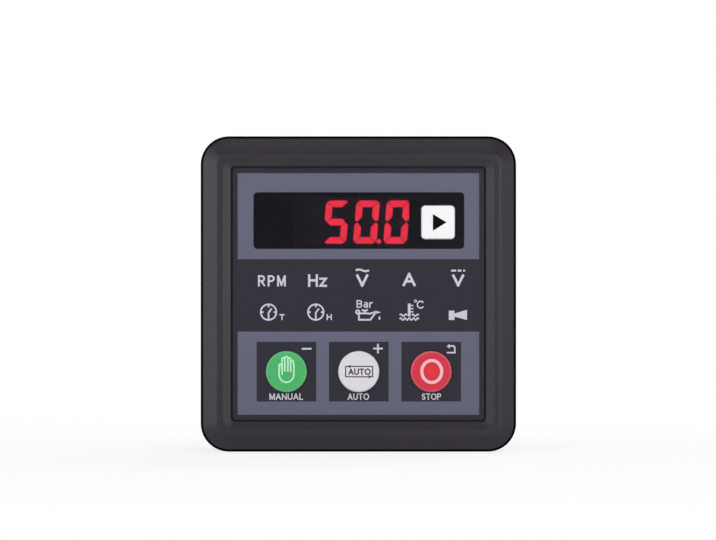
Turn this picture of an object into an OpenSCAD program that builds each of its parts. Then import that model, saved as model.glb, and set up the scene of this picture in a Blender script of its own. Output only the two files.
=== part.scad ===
// Square panel-mount controller for a generating set, with rear terminals and panel clamps.
// X points right, Z points up and Y points into the panel, whose front face lies at Y = 0.
// Each piece is drawn lying on its back, with x right, y up and z towards the viewer, and is then stood up.

/* [Bezel] */
// Width and height of the square front
bezel_size = 78; // [76:0.5:90]
// Corner radius of the front
bezel_corner_r = 7; // [6:0.5:9]
// Height from the flange's rear face to the ridge
bezel_height = 8; // [7.5:0.25:12]
// Width of the slope outside the ridge
outer_slope_w = 4; // [3:0.1:4.5]
// Fall of the slope outside the ridge
outer_slope_drop = 1.1; // [0.6:0.1:2]
// Rounding of the outer front edge
outer_edge_r = 0.8; // [0.4:0.1:1.2]
// Rounding of the ridge
ridge_r = 3; // [1:0.25:4]
// Width of the slope inside the ridge
inner_slope_w = 2; // [1:0.1:2.4]
// Fall of the slope inside the ridge
inner_slope_drop = 0.4; // [0.2:0.1:0.8]
// Side of the square recess that holds the overlay
recess_size = 63; // [61:0.5:65]
// Corner radius of the recess
recess_corner_r = 1; // [0.6:0.1:2]
// Depth of the recess wall above the overlay
recess_wall = 0.7; // [0.3:0.1:1.5]
// Thickness of the plate behind the overlay
fascia_t = 2; // [1.6:0.1:3]
// Length of the spigot that carries the rear case
spigot_len = 7; // [6:0.25:10]
// Wall of the spigot
spigot_wall = 1.7; // [1.2:0.1:2.2]
// Wall outside the channel in the flange's rear face
skirt_wall = 2.2; // [1.6:0.1:2.8]
// Depth of the channel in the flange's rear face
channel_depth = 3.4; // [2:0.1:4.5]

/* [Overlay] */
// Thickness of the overlay film
overlay_t = 0.5; // [0.3:0.05:0.8]
// Gap between the overlay and the recess wall
overlay_gap = 0.4; // [0.1:0.05:0.5]
// Thickness of the printed colour fields
print_t = 0.12; // [0.05:0.01:0.2]
// Margin of the overlay around the printed fields
field_margin = 1.25; // [0.8:0.05:2]
// Upper edge of the dark middle band, above the centre
band_top = 8.6; // [7:0.1:10]
// Lower edge of the dark middle band, below the centre
band_bottom = 9.3; // [8:0.1:10.5]
// Side of the dark square behind each round key
key_square = 14.75; // [13.5:0.25:16]

/* [Display] */
// Width of the display window
window_w = 52.1; // [50:0.1:55]
// Height of the display window
window_h = 14; // [13:0.1:16]
// Corner radius of the window
window_corner_r = 1; // [0.4:0.1:2]
// Window centre right of the middle
window_x = 0.1; // [-1:0.05:1]
// Window centre above the middle
window_y = 18.15; // [17.5:0.05:19]
// Thickness of the tinted window
lens_t = 1.4; // [1:0.1:1.8]
// Gap around the window
lens_gap = 0.1; // [0.05:0.05:0.2]
// How far the window lies below the overlay's face
lens_sink = 0.1; // [0:0.05:0.3]
// Width of the digit module
module_w = 30.2; // [29.8:0.1:32]
// Height of the digit module
module_h = 14; // [13:0.1:15]
// Depth of the digit module
module_depth = 7; // [6:0.1:8]
// Gap between the digit module and the plate in front of it
module_gap = 0.2; // [0.1:0.05:0.4]
// How far the plate laps over the digit module
opening_lap = 0.8; // [0.5:0.1:1.2]
// Height of a digit
digit_h = 10.7; // [9.5:0.1:11.5]
// Width of an upright digit
digit_w = 5.8; // [5:0.1:6]
// Distance from digit to digit
digit_pitch = 7.5; // [7.3:0.05:7.6]
// Width of a segment
segment_w = 1.65; // [1.2:0.05:1.8]
// Rounding of a digit's outer corners
digit_corner_r = 1.3; // [0.8:0.05:1.5]
// Gap where two segments meet
segment_gap = 0.15; // [0.1:0.05:0.3]
// Depth of the segment pockets
segment_depth = 0.4; // [0.2:0.05:0.8]
// Lean of the digits in degrees
digit_lean = 5; // [0:0.5:8]
// Diameter of the decimal points
dot_d = 1.15; // [0.8:0.05:1.2]
// Digit centre left of the page key
digits_x = 21.45; // [21:0.05:22.5]
// Digit centre below the window's centre
digits_y = 0.35; // [-0.5:0.05:0.6]

/* [Keys] */
// Diameter of the three round keys
key_d = 10.2; // [9:0.1:12]
// Distance from key to key
key_pitch = 17.9; // [17:0.1:18.5]
// Middle key right of the middle
key_row_x = 0.1; // [-0.5:0.05:0.5]
// Key row below the middle
key_row_drop = 19.2; // [18.5:0.1:20]
// How far the keys stand out of the overlay
key_proud = 0.8; // [0.6:0.05:1.2]
// Rounding of the keys' front edges
key_edge_r = 0.4; // [0.2:0.05:0.6]
// Gap between a key and its guide hole
key_clear = 0.15; // [0.1:0.01:0.25]
// Width of the collar that holds a key in
key_collar_w = 1; // [0.6:0.1:1.4]
// Thickness of that collar
key_collar_t = 1; // [0.6:0.1:1.4]
// Diameter of a key's stem
key_stem_d = 4.4; // [3:0.1:5.5]
// Side of the square page key
page_key_size = 8.3; // [7.5:0.1:9]
// Corner radius of the page key
page_key_corner_r = 1; // [0.7:0.1:1.5]
// Page key in from the window's right edge
page_key_x = 6.45; // [5.9:0.05:7]
// Page key below the window's centre
page_key_y = 0.45; // [-0.5:0.05:0.8]
// How far the page key stands out of the window
page_key_proud = 0.7; // [0.6:0.05:1.2]
// Travel of every key
key_travel = 0.5; // [0.25:0.05:0.55]
// Side of a key switch
switch_size = 6; // [5.5:0.1:7]
// Height of a key switch without its plunger
switch_h = 3.5; // [3.3:0.1:4]
// Diameter of a switch plunger
plunger_d = 3.4; // [2.5:0.1:4]
// Gap round a switch plunger
plunger_clear = 0.1; // [0.05:0.01:0.15]
// Height of a plunger above its switch
plunger_reach = 1.5; // [1:0.1:1.9]
// Depth of a plunger inside its switch
plunger_seat = 1.6; // [1:0.1:1.8]

/* [Indicators] */
// Distance from column to column
icon_pitch = 11.4; // [10.5:0.1:11.5]
// Distance from row to row
icon_row_pitch = 8.2; // [7:0.1:9]
// Indicator block right of the middle
icons_x = 1.25; // [0:0.05:1.4]
// Width of a light well
well_w = 6.4; // [5:0.1:6.8]
// Height of a light well
well_h = 5.6; // [4.5:0.1:5.9]
// Wall round the light wells
baffle_wall = 1; // [0.6:0.1:1.2]
// Diameter of an indicator lamp
lamp_d = 3; // [2:0.1:3.4]
// Height of an indicator lamp
lamp_h = 5; // [4:0.1:6]
// Width of the foot of an indicator lamp beyond its body
lamp_foot_w = 0.4; // [0.2:0.05:0.6]
// Thickness of that foot
lamp_foot_t = 1; // [0.6:0.1:1.4]

/* [Boards] */
// Thickness of both circuit boards
board_t = 1.6; // [1.2:0.1:2]
// Gap between the boards and the spigot
board_gap = 0.3; // [0.15:0.05:0.6]
// Screw bosses in from the spigot's inner wall
boss_inset = 3.1; // [3:0.1:3.6]
// Diameter of a screw boss
boss_d = 5.2; // [4.6:0.1:5.6]
// Diameter of a spacer's stud
stud_d = 2.5; // [2:0.1:3]
// Length of a spacer's stud in front of the board
stud_len = 5.5; // [4:0.1:5.8]
// Gap round studs and screws in their holes
thread_clear = 0.05; // [0.02:0.01:0.08]
// Gap round studs and screws in the boards
board_hole_clear = 0.2; // [0.1:0.05:0.4]
// Width across the flats of a spacer
spacer_flats = 5; // [4.5:0.1:5.2]
// Depth of the tapped hole in a spacer's rear end
spacer_hole_depth = 8; // [7:0.5:12]
// Diameter of a board screw's head
board_screw_head_d = 4.6; // [4:0.1:5.2]
// Height of a board screw's head
board_screw_head_h = 1.6; // [1.2:0.1:2]
// Grip of a board screw in its spacer
board_screw_grip = 6; // [4:0.5:6.5]

/* [Board parts] */
// Side of the controller chip
chip_size = 10; // [7:0.5:12]
// Thickness of the controller chip
chip_t = 1.4; // [1:0.1:2]
// Controller chip left of the middle
chip_x = 10; // [8:0.5:14]
// Controller chip above the middle
chip_y = 6; // [4:0.5:10]
// Width of the display driver chip
driver_w = 18; // [14:0.5:20]
// Height of the display driver chip
driver_h = 7.5; // [6:0.5:9]
// Thickness of the display driver chip
driver_t = 2.3; // [1.5:0.1:3]
// Display driver right of the middle
driver_x = 12; // [10:0.5:15]
// Display driver above the middle
driver_y = 8; // [6:0.5:12]
// Width of a relay
relay_w = 19; // [17:0.5:20]
// Height of a relay along the board
relay_h = 15.5; // [14:0.5:17]
// Depth of a relay
relay_depth = 15.3; // [12:0.1:17]
// Corner radius of a relay
relay_corner_r = 1; // [0.5:0.1:1.5]
// Relays left of the middle
relay_x = 15.5; // [14:0.5:16]
// Relays above and below the middle
relay_y = 10.5; // [9:0.5:13]
// Diameter of a smoothing capacitor
capacitor_d = 8; // [6:0.5:10]
// Depth of a smoothing capacitor
capacitor_depth = 12; // [9:0.5:16]
// Radius of a capacitor's groove and top edge
capacitor_bead = 0.35; // [0.2:0.05:0.5]
// Capacitor groove above the board
capacitor_groove = 1.4; // [1:0.1:2]
// Distance between the two capacitors
capacitor_pitch = 11; // [10.5:0.5:13]
// Capacitors right of the middle
capacitors_x = 14; // [11:0.5:15]
// Capacitors above the middle
capacitors_y = 15; // [13:0.5:18]
// Diameter of the supply choke
choke_d = 9; // [7:0.5:11]
// Depth of the supply choke
choke_depth = 6; // [5:0.5:9]
// Thickness of the choke's two flanges
choke_flange_t = 1.2; // [0.8:0.1:1.6]
// Choke above the middle
choke_y = 2; // [1:0.5:3]
// Contacts in each of the two rows that join the boards
link_columns = 8; // [4:1:9]
// Distance between those contacts
link_pitch = 2.54; // [2.5:0.02:2.6]
// Side of a link pin
link_pin = 0.64; // [0.5:0.02:0.8]
// Gap round a link pin
link_clear = 0.1; // [0.05:0.01:0.2]
// Depth of the link's pin base
link_base_depth = 2.5; // [2:0.1:3.5]
// Depth of the link's socket
link_socket_depth = 8.5; // [7:0.1:10]
// Length of the pins inside the socket
link_engage = 5; // [3:0.1:6]
// Link right of the middle
link_x = 12; // [10:0.5:13]
// Link below the middle
link_drop = 14; // [12:0.5:16]

/* [Rear case] */
// Width and height of the rear case
case_size = 65.2; // [64.4:0.1:66.5]
// Wall of the rear case
case_wall = 2; // [1.6:0.1:2.4]
// Depth of the rear case behind the panel
case_depth = 36; // [35:0.5:50]
// Corner radius of the rear case
case_corner_r = 2.5; // [2.4:0.1:4]
// Rounding of the rear edge
case_edge_r = 1.2; // [0.6:0.1:1.8]
// Gap between the spigot and the case
spigot_gap = 0.2; // [0.1:0.05:0.4]
// Width of a snap lug
snap_w = 8; // [6:0.5:12]
// Snap lugs left and right of the middle
snap_x = 18; // [14:0.5:20]
// Catching face of a lug behind the flange
snap_drop = 3.2; // [2.5:0.1:3.6]
// Length of a snap lug
snap_len = 2.1; // [1.6:0.1:2.3]
// How far a lug reaches into the case wall
snap_reach = 1.3; // [0.8:0.1:1.5]
// Gap around a lug in its window
snap_gap = 0.1; // [0.05:0.05:0.3]
// Number of cooling slots in the top, and in the bottom
vent_count = 9; // [5:1:10]
// Width of a cooling slot
vent_w = 1.8; // [1.2:0.1:2.4]
// Length of a cooling slot
vent_len = 14; // [8:0.5:16]
// Distance from slot to slot
vent_pitch = 5; // [4.5:0.1:5.5]
// Cooling slots in from the rear of the case
vent_inset = 5; // [4:0.5:8]

/* [Gasket] */
// Thickness of the panel gasket
gasket_t = 1; // [0.5:0.1:2]
// Gap between the gasket and the case
gasket_gap = 0.4; // [0.2:0.1:0.8]
// Gasket in from the bezel's edge
gasket_inset = 0.8; // [0.4:0.1:1.2]
// Flat land between the gasket's inner edge and the flange's channel
channel_land = 1; // [0.6:0.1:1.4]

/* [Terminals] */
// Number of poles in each terminal row
poles = 10; // [4:1:10]
// Distance from pole to pole
pole_pitch = 5.08; // [5:0.02:5.4]
// Wall between two poles
pole_wall = 1; // [0.8:0.05:1.2]
// Terminal rows above and below the middle
row_y = 15; // [12:0.5:16]
// Depth of a terminal socket
socket_depth = 8.6; // [8:0.1:10]
// Wall of a terminal socket
socket_wall = 1; // [0.8:0.1:1.4]
// Floor of a terminal socket
socket_floor = 1.8; // [1.2:0.1:2.2]
// How far a socket stands out of the case
socket_proud = 0.4; // [0.2:0.1:1]
// Gap between a socket and the case
socket_gap = 0.25; // [0.15:0.05:0.5]
// Side of a socket pin
pin_w = 1; // [0.8:0.05:1.2]
// Gap round a pin in its socket floor
pin_clear = 0.05; // [0.03:0.01:0.1]
// Length of a pin behind the socket's floor
pin_len = 4.8; // [3:0.1:5.2]
// Height of a plug's nose
nose_h = 7; // [6:0.1:8]
// Length of a plug's nose
nose_len = 6.4; // [5:0.1:6.6]
// Gap between a nose and its socket
nose_clear = 0.15; // [0.1:0.01:0.25]
// Chamfer of a nose
nose_chamfer = 0.5; // [0.2:0.1:0.8]
// Width of the coding ribs along a nose
code_rib_w = 1.2; // [0.8:0.1:1.6]
// Height of those ribs
code_rib_h = 0.6; // [0.4:0.05:0.7]
// Ribs in from the front of a nose
code_rib_inset = 1.2; // [0.8:0.1:2]
// Gap between a coding rib and its slot
code_gap = 0.15; // [0.1:0.01:0.25]
// Side of the contact slot in a nose
contact_slot = 1.7; // [1.5:0.05:2]
// Length of a plug behind its socket
plug_len = 9.6; // [9:0.1:12]
// Reach of a plug on its screw side
plug_rise = 9; // [8:0.1:10]
// Reach of a plug on its other side
plug_fall = 5; // [4.6:0.1:6]
// Chamfer along a plug's screw side
plug_chamfer = 1.6; // [0.8:0.1:2.2]
// Width of the grooves between the poles
groove_w = 0.6; // [0.4:0.05:0.8]
// Depth of those grooves
groove_depth = 0.5; // [0.3:0.05:0.7]
// Side of a wire entry
entry_size = 3.4; // [2.8:0.1:3.8]
// Wire entries off the row's centre line
entry_drop = 1; // [0.6:0.1:1.4]
// Height of a wire clamp
cage_h = 5; // [4.4:0.1:5.4]
// Length of a wire clamp
cage_len = 5; // [4:0.1:5.2]
// Wall of a wire clamp
cage_wall = 0.7; // [0.5:0.05:0.9]
// Gap round a wire clamp
cage_clear = 0.05; // [0.03:0.01:0.1]
// Wall between a wire clamp and a plug's rear face
entry_wall = 1.4; // [1:0.1:2]
// Diameter of a terminal screw's head
terminal_head_d = 3.5; // [3:0.1:3.6]
// Height of a terminal screw's head
terminal_head_h = 1.8; // [1.2:0.1:2.2]
// Diameter of a terminal screw's shank
terminal_shank_d = 2.5; // [2:0.1:2.8]
// How far a terminal screw lies below the plug's top
terminal_sink = 0.8; // [0.4:0.1:1.4]
// Gap round a terminal screw
terminal_clear = 0.1; // [0.05:0.01:0.15]

/* [Panel clamps] */
// Length of a clamp
clamp_len = 15; // [14:0.5:20]
// Width of a clamp
clamp_w = 12; // [10:0.5:16]
// Thickness of a clamp's foot
clamp_foot_t = 2; // [1.9:0.1:2.4]
// Diameter of the barrel round a clamp's screw
clamp_barrel_d = 5; // [4.6:0.1:5.6]
// Number of webs between a clamp's foot and its barrel
clamp_webs = 3; // [2:1:5]
// Thickness of a web
clamp_web_t = 1.4; // [1:0.1:2]
// Step from the foot's edge to the webs
clamp_web_step = 0.8; // [0.4:0.1:1.5]
// Corner radius of a clamp's foot
clamp_corner_r = 0.8; // [0.4:0.1:0.9]
// Front of a clamp behind the panel's face
clamp_drop = 12; // [11:0.5:13]
// Gap between a clamp and the case
clamp_gap = 0.1; // [0.05:0.05:0.3]
// Width of a clamp's hooks
hook_w = 8; // [6:0.5:10]
// Length of a hook's neck
hook_neck = 2.5; // [2:0.1:3]
// How far a hook grips behind the wall
hook_grip = 1.6; // [1:0.1:2]
// Thickness of a hook's lip
hook_lip = 1.4; // [1:0.1:1.6]
// First hook behind the clamp's front
hook_inset = 2.4; // [2:0.1:3]
// Distance between a clamp's two hooks
hook_pitch = 7; // [6.5:0.1:8]
// Gap around a hook in its slot
hook_gap = 0.1; // [0.05:0.05:0.3]
// Diameter of a clamp screw
clamp_screw_d = 3; // [2.5:0.1:3.2]
// Clamp screw out from the case's side
clamp_screw_x = 3.4; // [3.2:0.1:3.6]
// Gap between a clamp screw and its hole
clamp_screw_clear = 0.05; // [0.02:0.01:0.08]
// Tip of a clamp screw behind the panel's face
clamp_tip = 6.5; // [5:0.5:8]
// Length of a clamp screw under its head
clamp_screw_len = 26; // [25.5:0.5:30]
// Diameter of a clamp screw's head
clamp_head_d = 5.5; // [5:0.1:5.8]
// Height of a clamp screw's head
clamp_head_h = 1.9; // [1.4:0.1:2.4]
// Chamfer at a clamp screw's tip
clamp_tip_chamfer = 0.5; // [0.3:0.1:0.8]
// Width of the driver slots in all screws
slot_w = 0.7; // [0.5:0.05:0.9]
// Depth of the driver slots in all screws
slot_depth = 0.8; // [0.5:0.05:1]

/* [Hidden] */
$fn = 64;
// Extra reach of a cutting shape past the face that it cuts
cut = 1;
arc_steps = 8;

// Heights above the panel's face, from the front to the rear
flange_z = gasket_t;
ridge_z = flange_z + bezel_height;
recess_edge_z = ridge_z - inner_slope_drop;
overlay_z = recess_edge_z - recess_wall;
fascia_z = overlay_z - overlay_t;
fascia_rear_z = fascia_z - fascia_t;
lens_z = overlay_z - lens_sink;
lens_rear_z = lens_z - lens_t;
module_z = fascia_rear_z - module_gap;
board_z = module_z - module_depth;
board_rear_z = board_z - board_t;
collar_rear_z = fascia_rear_z - key_collar_t;
plunger_z = board_z + switch_h + plunger_reach;
spigot_rear_z = flange_z - spigot_len;
case_rear_z = -case_depth;
socket_rear_z = case_rear_z - socket_proud;
power_rear_z = socket_rear_z + socket_depth;
power_z = power_rear_z + board_t;
socket_floor_z = power_rear_z - socket_floor;
nose_z = socket_rear_z + nose_len;
plug_rear_z = socket_rear_z - plug_len;
cage_z = plug_rear_z + entry_wall + cage_len / 2;

// Sizes that follow from the driving dimensions
overlay_size = recess_size - 2 * overlay_gap;
field_half = overlay_size / 2 - field_margin;
case_inner = case_size - 2 * case_wall;
case_inner_r = case_corner_r - case_wall;
spigot_size = case_inner - 2 * spigot_gap;
spigot_inner = spigot_size - 2 * spigot_wall;
board_size = spigot_inner - 2 * board_gap;
boss_xy = spigot_inner / 2 - boss_inset;
gasket_inner = case_size + 2 * gasket_gap;
gasket_outer = bezel_size - 2 * gasket_inset;
channel_inner = gasket_inner + 2 * channel_land;
channel_outer = bezel_size - 2 * skirt_wall;
key_r = key_d / 2;
stud_r = stud_d / 2;
plug_w = poles * pole_pitch + groove_w;
socket_inner_w = plug_w + 2 * nose_clear;
socket_inner_h = nose_h + 2 * nose_clear;
socket_w = socket_inner_w + 2 * socket_wall;
socket_h = socket_inner_h + 2 * socket_wall;
cavity_w = pole_pitch - pole_wall;
cage_w = cavity_w - 2 * cage_clear;
cage_top = cage_h / 2 - entry_drop;
case_half = case_size / 2;
clamp_screw_axis = case_half + clamp_screw_x;
link_w = link_columns * link_pitch;
link_h = 2 * link_pitch;

// Places of what repeats
signs = [-1, 1];
corners = [for (x = signs, y = signs) [x * boss_xy, y * boss_xy]];
key_places = [for (i = [-1:1]) [key_row_x + i * key_pitch, -key_row_drop]];
page_place = [window_x + window_w / 2 - page_key_x, window_y - page_key_y];
digits_place = [page_place[0] - digits_x, window_y - digits_y];
switch_places = concat(key_places, [page_place]);
well_places = [for (i = [-2:2], j = signs) [icons_x + i * icon_pitch, j * icon_row_pitch / 2]];
pole_places = [for (i = [0:poles - 1]) (i - (poles - 1) / 2) * pole_pitch];
link_places = [
    for (i = [0:link_columns - 1], j = signs)
        [link_x + (i - (link_columns - 1) / 2) * link_pitch, j * link_pitch / 2 - link_drop]
];
hook_places = [for (i = [0, 1]) -clamp_drop - hook_inset - i * hook_pitch];

// Bars of an upright digit: the top one, the upper left one and the middle one, with mitred ends
digit_half_w = digit_w / 2;
digit_half_h = digit_h / 2;
digit_corner = [digit_half_w - digit_corner_r, digit_half_h - digit_corner_r];
bar_inner = [digit_half_w - segment_w, digit_half_h - segment_w];
bar_tip = segment_w / 3;
mitre_turn = asin(segment_gap / 2 / digit_corner_r);
mitre_step = segment_gap / sqrt(2);
top_bar = concat(
    arc(-digit_corner[0], digit_corner[1], digit_corner_r, 135 - mitre_turn, 90),
    arc(digit_corner[0], digit_corner[1], digit_corner_r, 90, 45 + mitre_turn),
    [[bar_inner[0] - mitre_step, bar_inner[1]], [mitre_step - bar_inner[0], bar_inner[1]]]
);
side_bar = concat(
    arc(-digit_corner[0], digit_corner[1], digit_corner_r, 180, 135 + mitre_turn),
    [
        [-bar_inner[0], bar_inner[1] - mitre_step],
        [-bar_inner[0], segment_w - bar_tip + mitre_step],
        [bar_tip - digit_half_w, mitre_step],
        [-digit_half_w, bar_tip + mitre_step]
    ]
);
middle_half = digit_half_w - bar_tip - mitre_step;
middle_shoulder = middle_half - segment_w / 2;
middle_bar = [
    [-middle_half, 0], [-middle_shoulder, segment_w / 2], [middle_shoulder, segment_w / 2],
    [middle_half, 0], [middle_shoulder, -segment_w / 2], [-middle_shoulder, -segment_w / 2]
];

// Segments of a digit as [bar, mirrored in x, mirrored in y], from the top round to the middle
segments = [
    [top_bar, 1, 1], [side_bar, -1, 1], [side_bar, -1, -1], [top_bar, 1, -1],
    [side_bar, 1, -1], [side_bar, 1, 1], [middle_bar, 1, 1]
];
// Letters of those segments, with a full stop for the decimal point
segment_letters = "abcdefg.";
// What glows in each digit, to read 50.0 with the first digit blank
glowing = ["", "acdfg", "abcdef.", "abcdef"];
digit_numbers = [0:len(glowing) - 1];
segment_numbers = [0:len(segment_letters) - 1];

bezel_colour = "#39363c";
overlay_colour = "#37353d";
print_colour = "#66687c";
lens_colour = "#1b1a20";
board_colour = "#2f6b3d";
black_plastic = "#202022";
terminal_colour = "#2f8f4e";
steel_colour = "#b9bcc0";
brass_colour = "#c8a75a";

// Points along an arc, with its centre, radius, first and last angle
function arc(x, y, r, from, to) = [
    for (i = [0:arc_steps])
        let (a = from + (to - from) * i / arc_steps)
            [x + r * cos(a), y + r * sin(a)]
];

// A point of an upright digit, leaned over
function lean(p) = [p[0] + p[1] * tan(digit_lean), p[1]];

// Outline of one segment, leaned over
function segment_outline(s) = [for (p = s[0]) lean([s[1] * p[0], s[2] * p[1]])];

// Stands a piece up, so that it faces the viewer along Y
module stand() {
    rotate([90, 0, 0]) children();
}

// Flat rectangle with round corners
module round_rect(w, h, r) {
    square([w - 2 * r, h], center = true);
    square([w, h - 2 * r], center = true);
    for (x = signs, y = signs) translate([x * (w / 2 - r), y * (h / 2 - r)]) circle(r);
}

// Flat slot with half-round ends
module slot_outline(w, len) {
    square([w, len - w], center = true);
    for (y = signs) translate([0, y * (len - w) / 2]) circle(d = w);
}

// Plate with round corners between two heights
module plate(w, h, r, low, high) {
    translate([0, 0, low]) linear_extrude(high - low) round_rect(w, h, r);
}

// Plain block between two heights
module block(w, h, low, high) {
    translate([-w / 2, -h / 2, low]) cube([w, h, high - low]);
}

// Square solid with round corners whose edge follows a profile. The profile's x runs
// outwards from the centre of a corner and its y is the height
module profiled_square(size, corner_r, low, high, profile) {
    reach = size / 2 - corner_r;
    block(2 * reach, 2 * reach, low, high);
    for (turn = [0:90:270]) rotate(turn) translate([reach, reach, 0]) {
        rotate_extrude(angle = 90) polygon(profile);
        rotate([90, 0, 0]) linear_extrude(2 * reach) polygon(profile);
    }
}

// Round piece with a profile of [radius, height] points
module turned(profile) {
    rotate_extrude() polygon(profile);
}

// Driver slot across a screw's head, open towards z
module driver_slot(top, width) {
    translate([-width / 2, -slot_w / 2, top - slot_depth]) cube([width, slot_w, slot_depth + cut]);
}

// Ridge and rounded outer edge of the bezel
module bezel_blank() {
    angle = atan(outer_slope_drop / outer_slope_w);
    edge_z = ridge_z - outer_slope_drop - outer_edge_r * (1 - sin(angle)) / cos(angle);
    crest_r = bezel_corner_r - outer_slope_w - ridge_r * tan(angle / 2);
    profile = concat(
        [[0, flange_z], [bezel_corner_r, flange_z]],
        arc(bezel_corner_r - outer_edge_r, edge_z, outer_edge_r, 0, 90 - angle),
        arc(crest_r, ridge_z - ridge_r, ridge_r, 90 - angle, 90),
        [[0, ridge_z]]
    );
    profiled_square(bezel_size, bezel_corner_r, flange_z, ridge_z, profile);
}

// Recess for the overlay, with the slope that leads down to it
module overlay_recess() {
    top_r = recess_corner_r + inner_slope_w;
    profile = [
        [0, fascia_z], [recess_corner_r, fascia_z], [recess_corner_r, recess_edge_z],
        [top_r, ridge_z], [top_r, ridge_z + cut], [0, ridge_z + cut]
    ];
    profiled_square(recess_size, recess_corner_r, fascia_z, ridge_z + cut, profile);
}

// Lug that catches in a window of the rear case, drawn on the top side
module snap_lug() {
    foot = spigot_size / 2 - spigot_wall / 2;
    tip = case_inner / 2 + snap_reach;
    front_z = flange_z - snap_drop;
    rear_z = front_z - snap_len;
    translate([-snap_w / 2, 0, 0]) rotate([90, 0, 90]) linear_extrude(snap_w)
        polygon([[foot, rear_z], [spigot_size / 2, rear_z], [tip, front_z], [foot, front_z]]);
}

module front_bezel() {
    color(bezel_colour) stand() {
        difference() {
            union() {
                bezel_blank();
                plate(spigot_size, spigot_size, case_inner_r, spigot_rear_z, flange_z + cut);
                for (side = [0, 180], x = signs) rotate(side) translate([x * snap_x, 0, 0]) snap_lug();
            }
            overlay_recess();
            block(spigot_inner, spigot_inner, spigot_rear_z - cut, fascia_rear_z);
            difference() {
                plate(channel_outer, channel_outer, bezel_corner_r - skirt_wall, flange_z - cut,
                    flange_z + channel_depth);
                plate(channel_inner, channel_inner, case_corner_r, flange_z - 2 * cut,
                    flange_z + channel_depth + cut);
            }
            translate([window_x, window_y, 0])
                plate(window_w, window_h, window_corner_r, lens_rear_z, fascia_z + cut);
            translate(digits_place)
                block(module_w - 2 * opening_lap, module_h - 2 * opening_lap, fascia_rear_z - cut, fascia_z);
            for (p = well_places) translate(p) block(well_w, well_h, fascia_rear_z - cut, fascia_z + cut);
            for (p = key_places) translate([p[0], p[1], fascia_rear_z - cut])
                cylinder(h = fascia_t + 2 * cut, r = key_r + key_clear);
            translate(page_place) page_outline(fascia_rear_z - cut, fascia_z + cut, key_clear);
        }
        for (p = corners) translate([p[0], p[1], board_z]) difference() {
            cylinder(h = fascia_rear_z - board_z, d = boss_d);
            translate([0, 0, -cut]) cylinder(h = stud_len + 2 * cut, r = stud_r + thread_clear);
        }
    }
}

// The page key's square, grown by a gap
module page_outline(low, high, gap) {
    side = page_key_size + 2 * gap;
    plate(side, side, page_key_corner_r + gap, low, high);
}

// Printed fields of the overlay: a frame round the window, and a frame round the key squares
module field_outlines() {
    difference() {
        translate([-field_half, band_top]) square([2 * field_half, field_half - band_top]);
        translate([window_x, window_y]) round_rect(window_w, window_h, window_corner_r);
    }
    difference() {
        translate([-field_half, -field_half]) square([2 * field_half, field_half - band_bottom]);
        for (p = key_places) translate(p) square(key_square, center = true);
    }
}

module front_overlay() {
    color(overlay_colour) stand() difference() {
        plate(overlay_size, overlay_size, recess_corner_r - overlay_gap, fascia_z, overlay_z);
        translate([0, 0, overlay_z - print_t]) linear_extrude(print_t + cut) field_outlines();
        translate([window_x, window_y, 0])
            plate(window_w, window_h, window_corner_r, fascia_z - cut, overlay_z + cut);
        for (p = key_places) translate([p[0], p[1], fascia_z - cut])
            cylinder(h = overlay_t + 2 * cut, r = key_r + key_clear);
    }
}

module printed_fields() {
    color(print_colour) stand() translate([0, 0, overlay_z - print_t])
        linear_extrude(print_t) field_outlines();
}

module display_window() {
    color(lens_colour) stand() difference() {
        translate([window_x, window_y, 0])
            plate(window_w - 2 * lens_gap, window_h - 2 * lens_gap, window_corner_r - lens_gap,
                lens_rear_z, lens_z);
        translate(page_place) page_outline(lens_rear_z - cut, lens_z + cut, key_clear);
    }
}

// Round key with its retaining collar and stem
module round_key(place) {
    top_z = overlay_z + key_proud;
    collar_r = key_r + key_collar_w;
    translate(place) turned(concat(
        [
            [0, plunger_z], [key_stem_d / 2, plunger_z], [key_stem_d / 2, collar_rear_z],
            [collar_r, collar_rear_z], [collar_r, fascia_rear_z], [key_r, fascia_rear_z]
        ],
        arc(key_r - key_edge_r, top_z - key_edge_r, key_edge_r, 0, 90),
        [[0, top_z]]
    ));
}

module manual_key() {
    color("#49b76b") stand() round_key(key_places[0]);
}

module auto_key() {
    color("#dcd9dd") stand() round_key(key_places[1]);
}

module stop_key() {
    color("#d03949") stand() round_key(key_places[2]);
}

// Square key inside the window, with its collar and stem
module page_key() {
    top_z = lens_z + page_key_proud;
    collar = page_key_size + 2 * key_collar_w;
    profile = concat(
        [[0, fascia_rear_z], [page_key_corner_r, fascia_rear_z]],
        arc(page_key_corner_r - key_edge_r, top_z - key_edge_r, key_edge_r, 0, 90),
        [[0, top_z]]
    );
    color("#f7f8fa") stand() translate(page_place) {
        profiled_square(page_key_size, page_key_corner_r, fascia_rear_z, top_z, profile);
        plate(collar, collar, page_key_corner_r, collar_rear_z, fascia_rear_z);
        translate([0, 0, plunger_z]) cylinder(h = collar_rear_z - plunger_z, d = key_stem_d);
    }
}

// Moving plunger of a key switch, under the stem of its key
module plunger(place) {
    color("#3a3a3c") stand() translate([place[0], place[1], board_z + switch_h - plunger_seat])
        cylinder(h = plunger_seat + plunger_reach, d = plunger_d);
}

module manual_plunger() {
    plunger(key_places[0]);
}

module auto_plunger() {
    plunger(key_places[1]);
}

module stop_plunger() {
    plunger(key_places[2]);
}

module page_plunger() {
    plunger(page_place);
}

module key_switches() {
    hole_depth = plunger_seat + key_travel + plunger_clear;
    color(black_plastic) stand() for (p = switch_places) translate([p[0], p[1], board_z]) difference() {
        block(switch_size, switch_size, 0, switch_h);
        translate([0, 0, switch_h - hole_depth])
            cylinder(h = hole_depth + cut, d = plunger_d + 2 * plunger_clear);
    }
}

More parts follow.
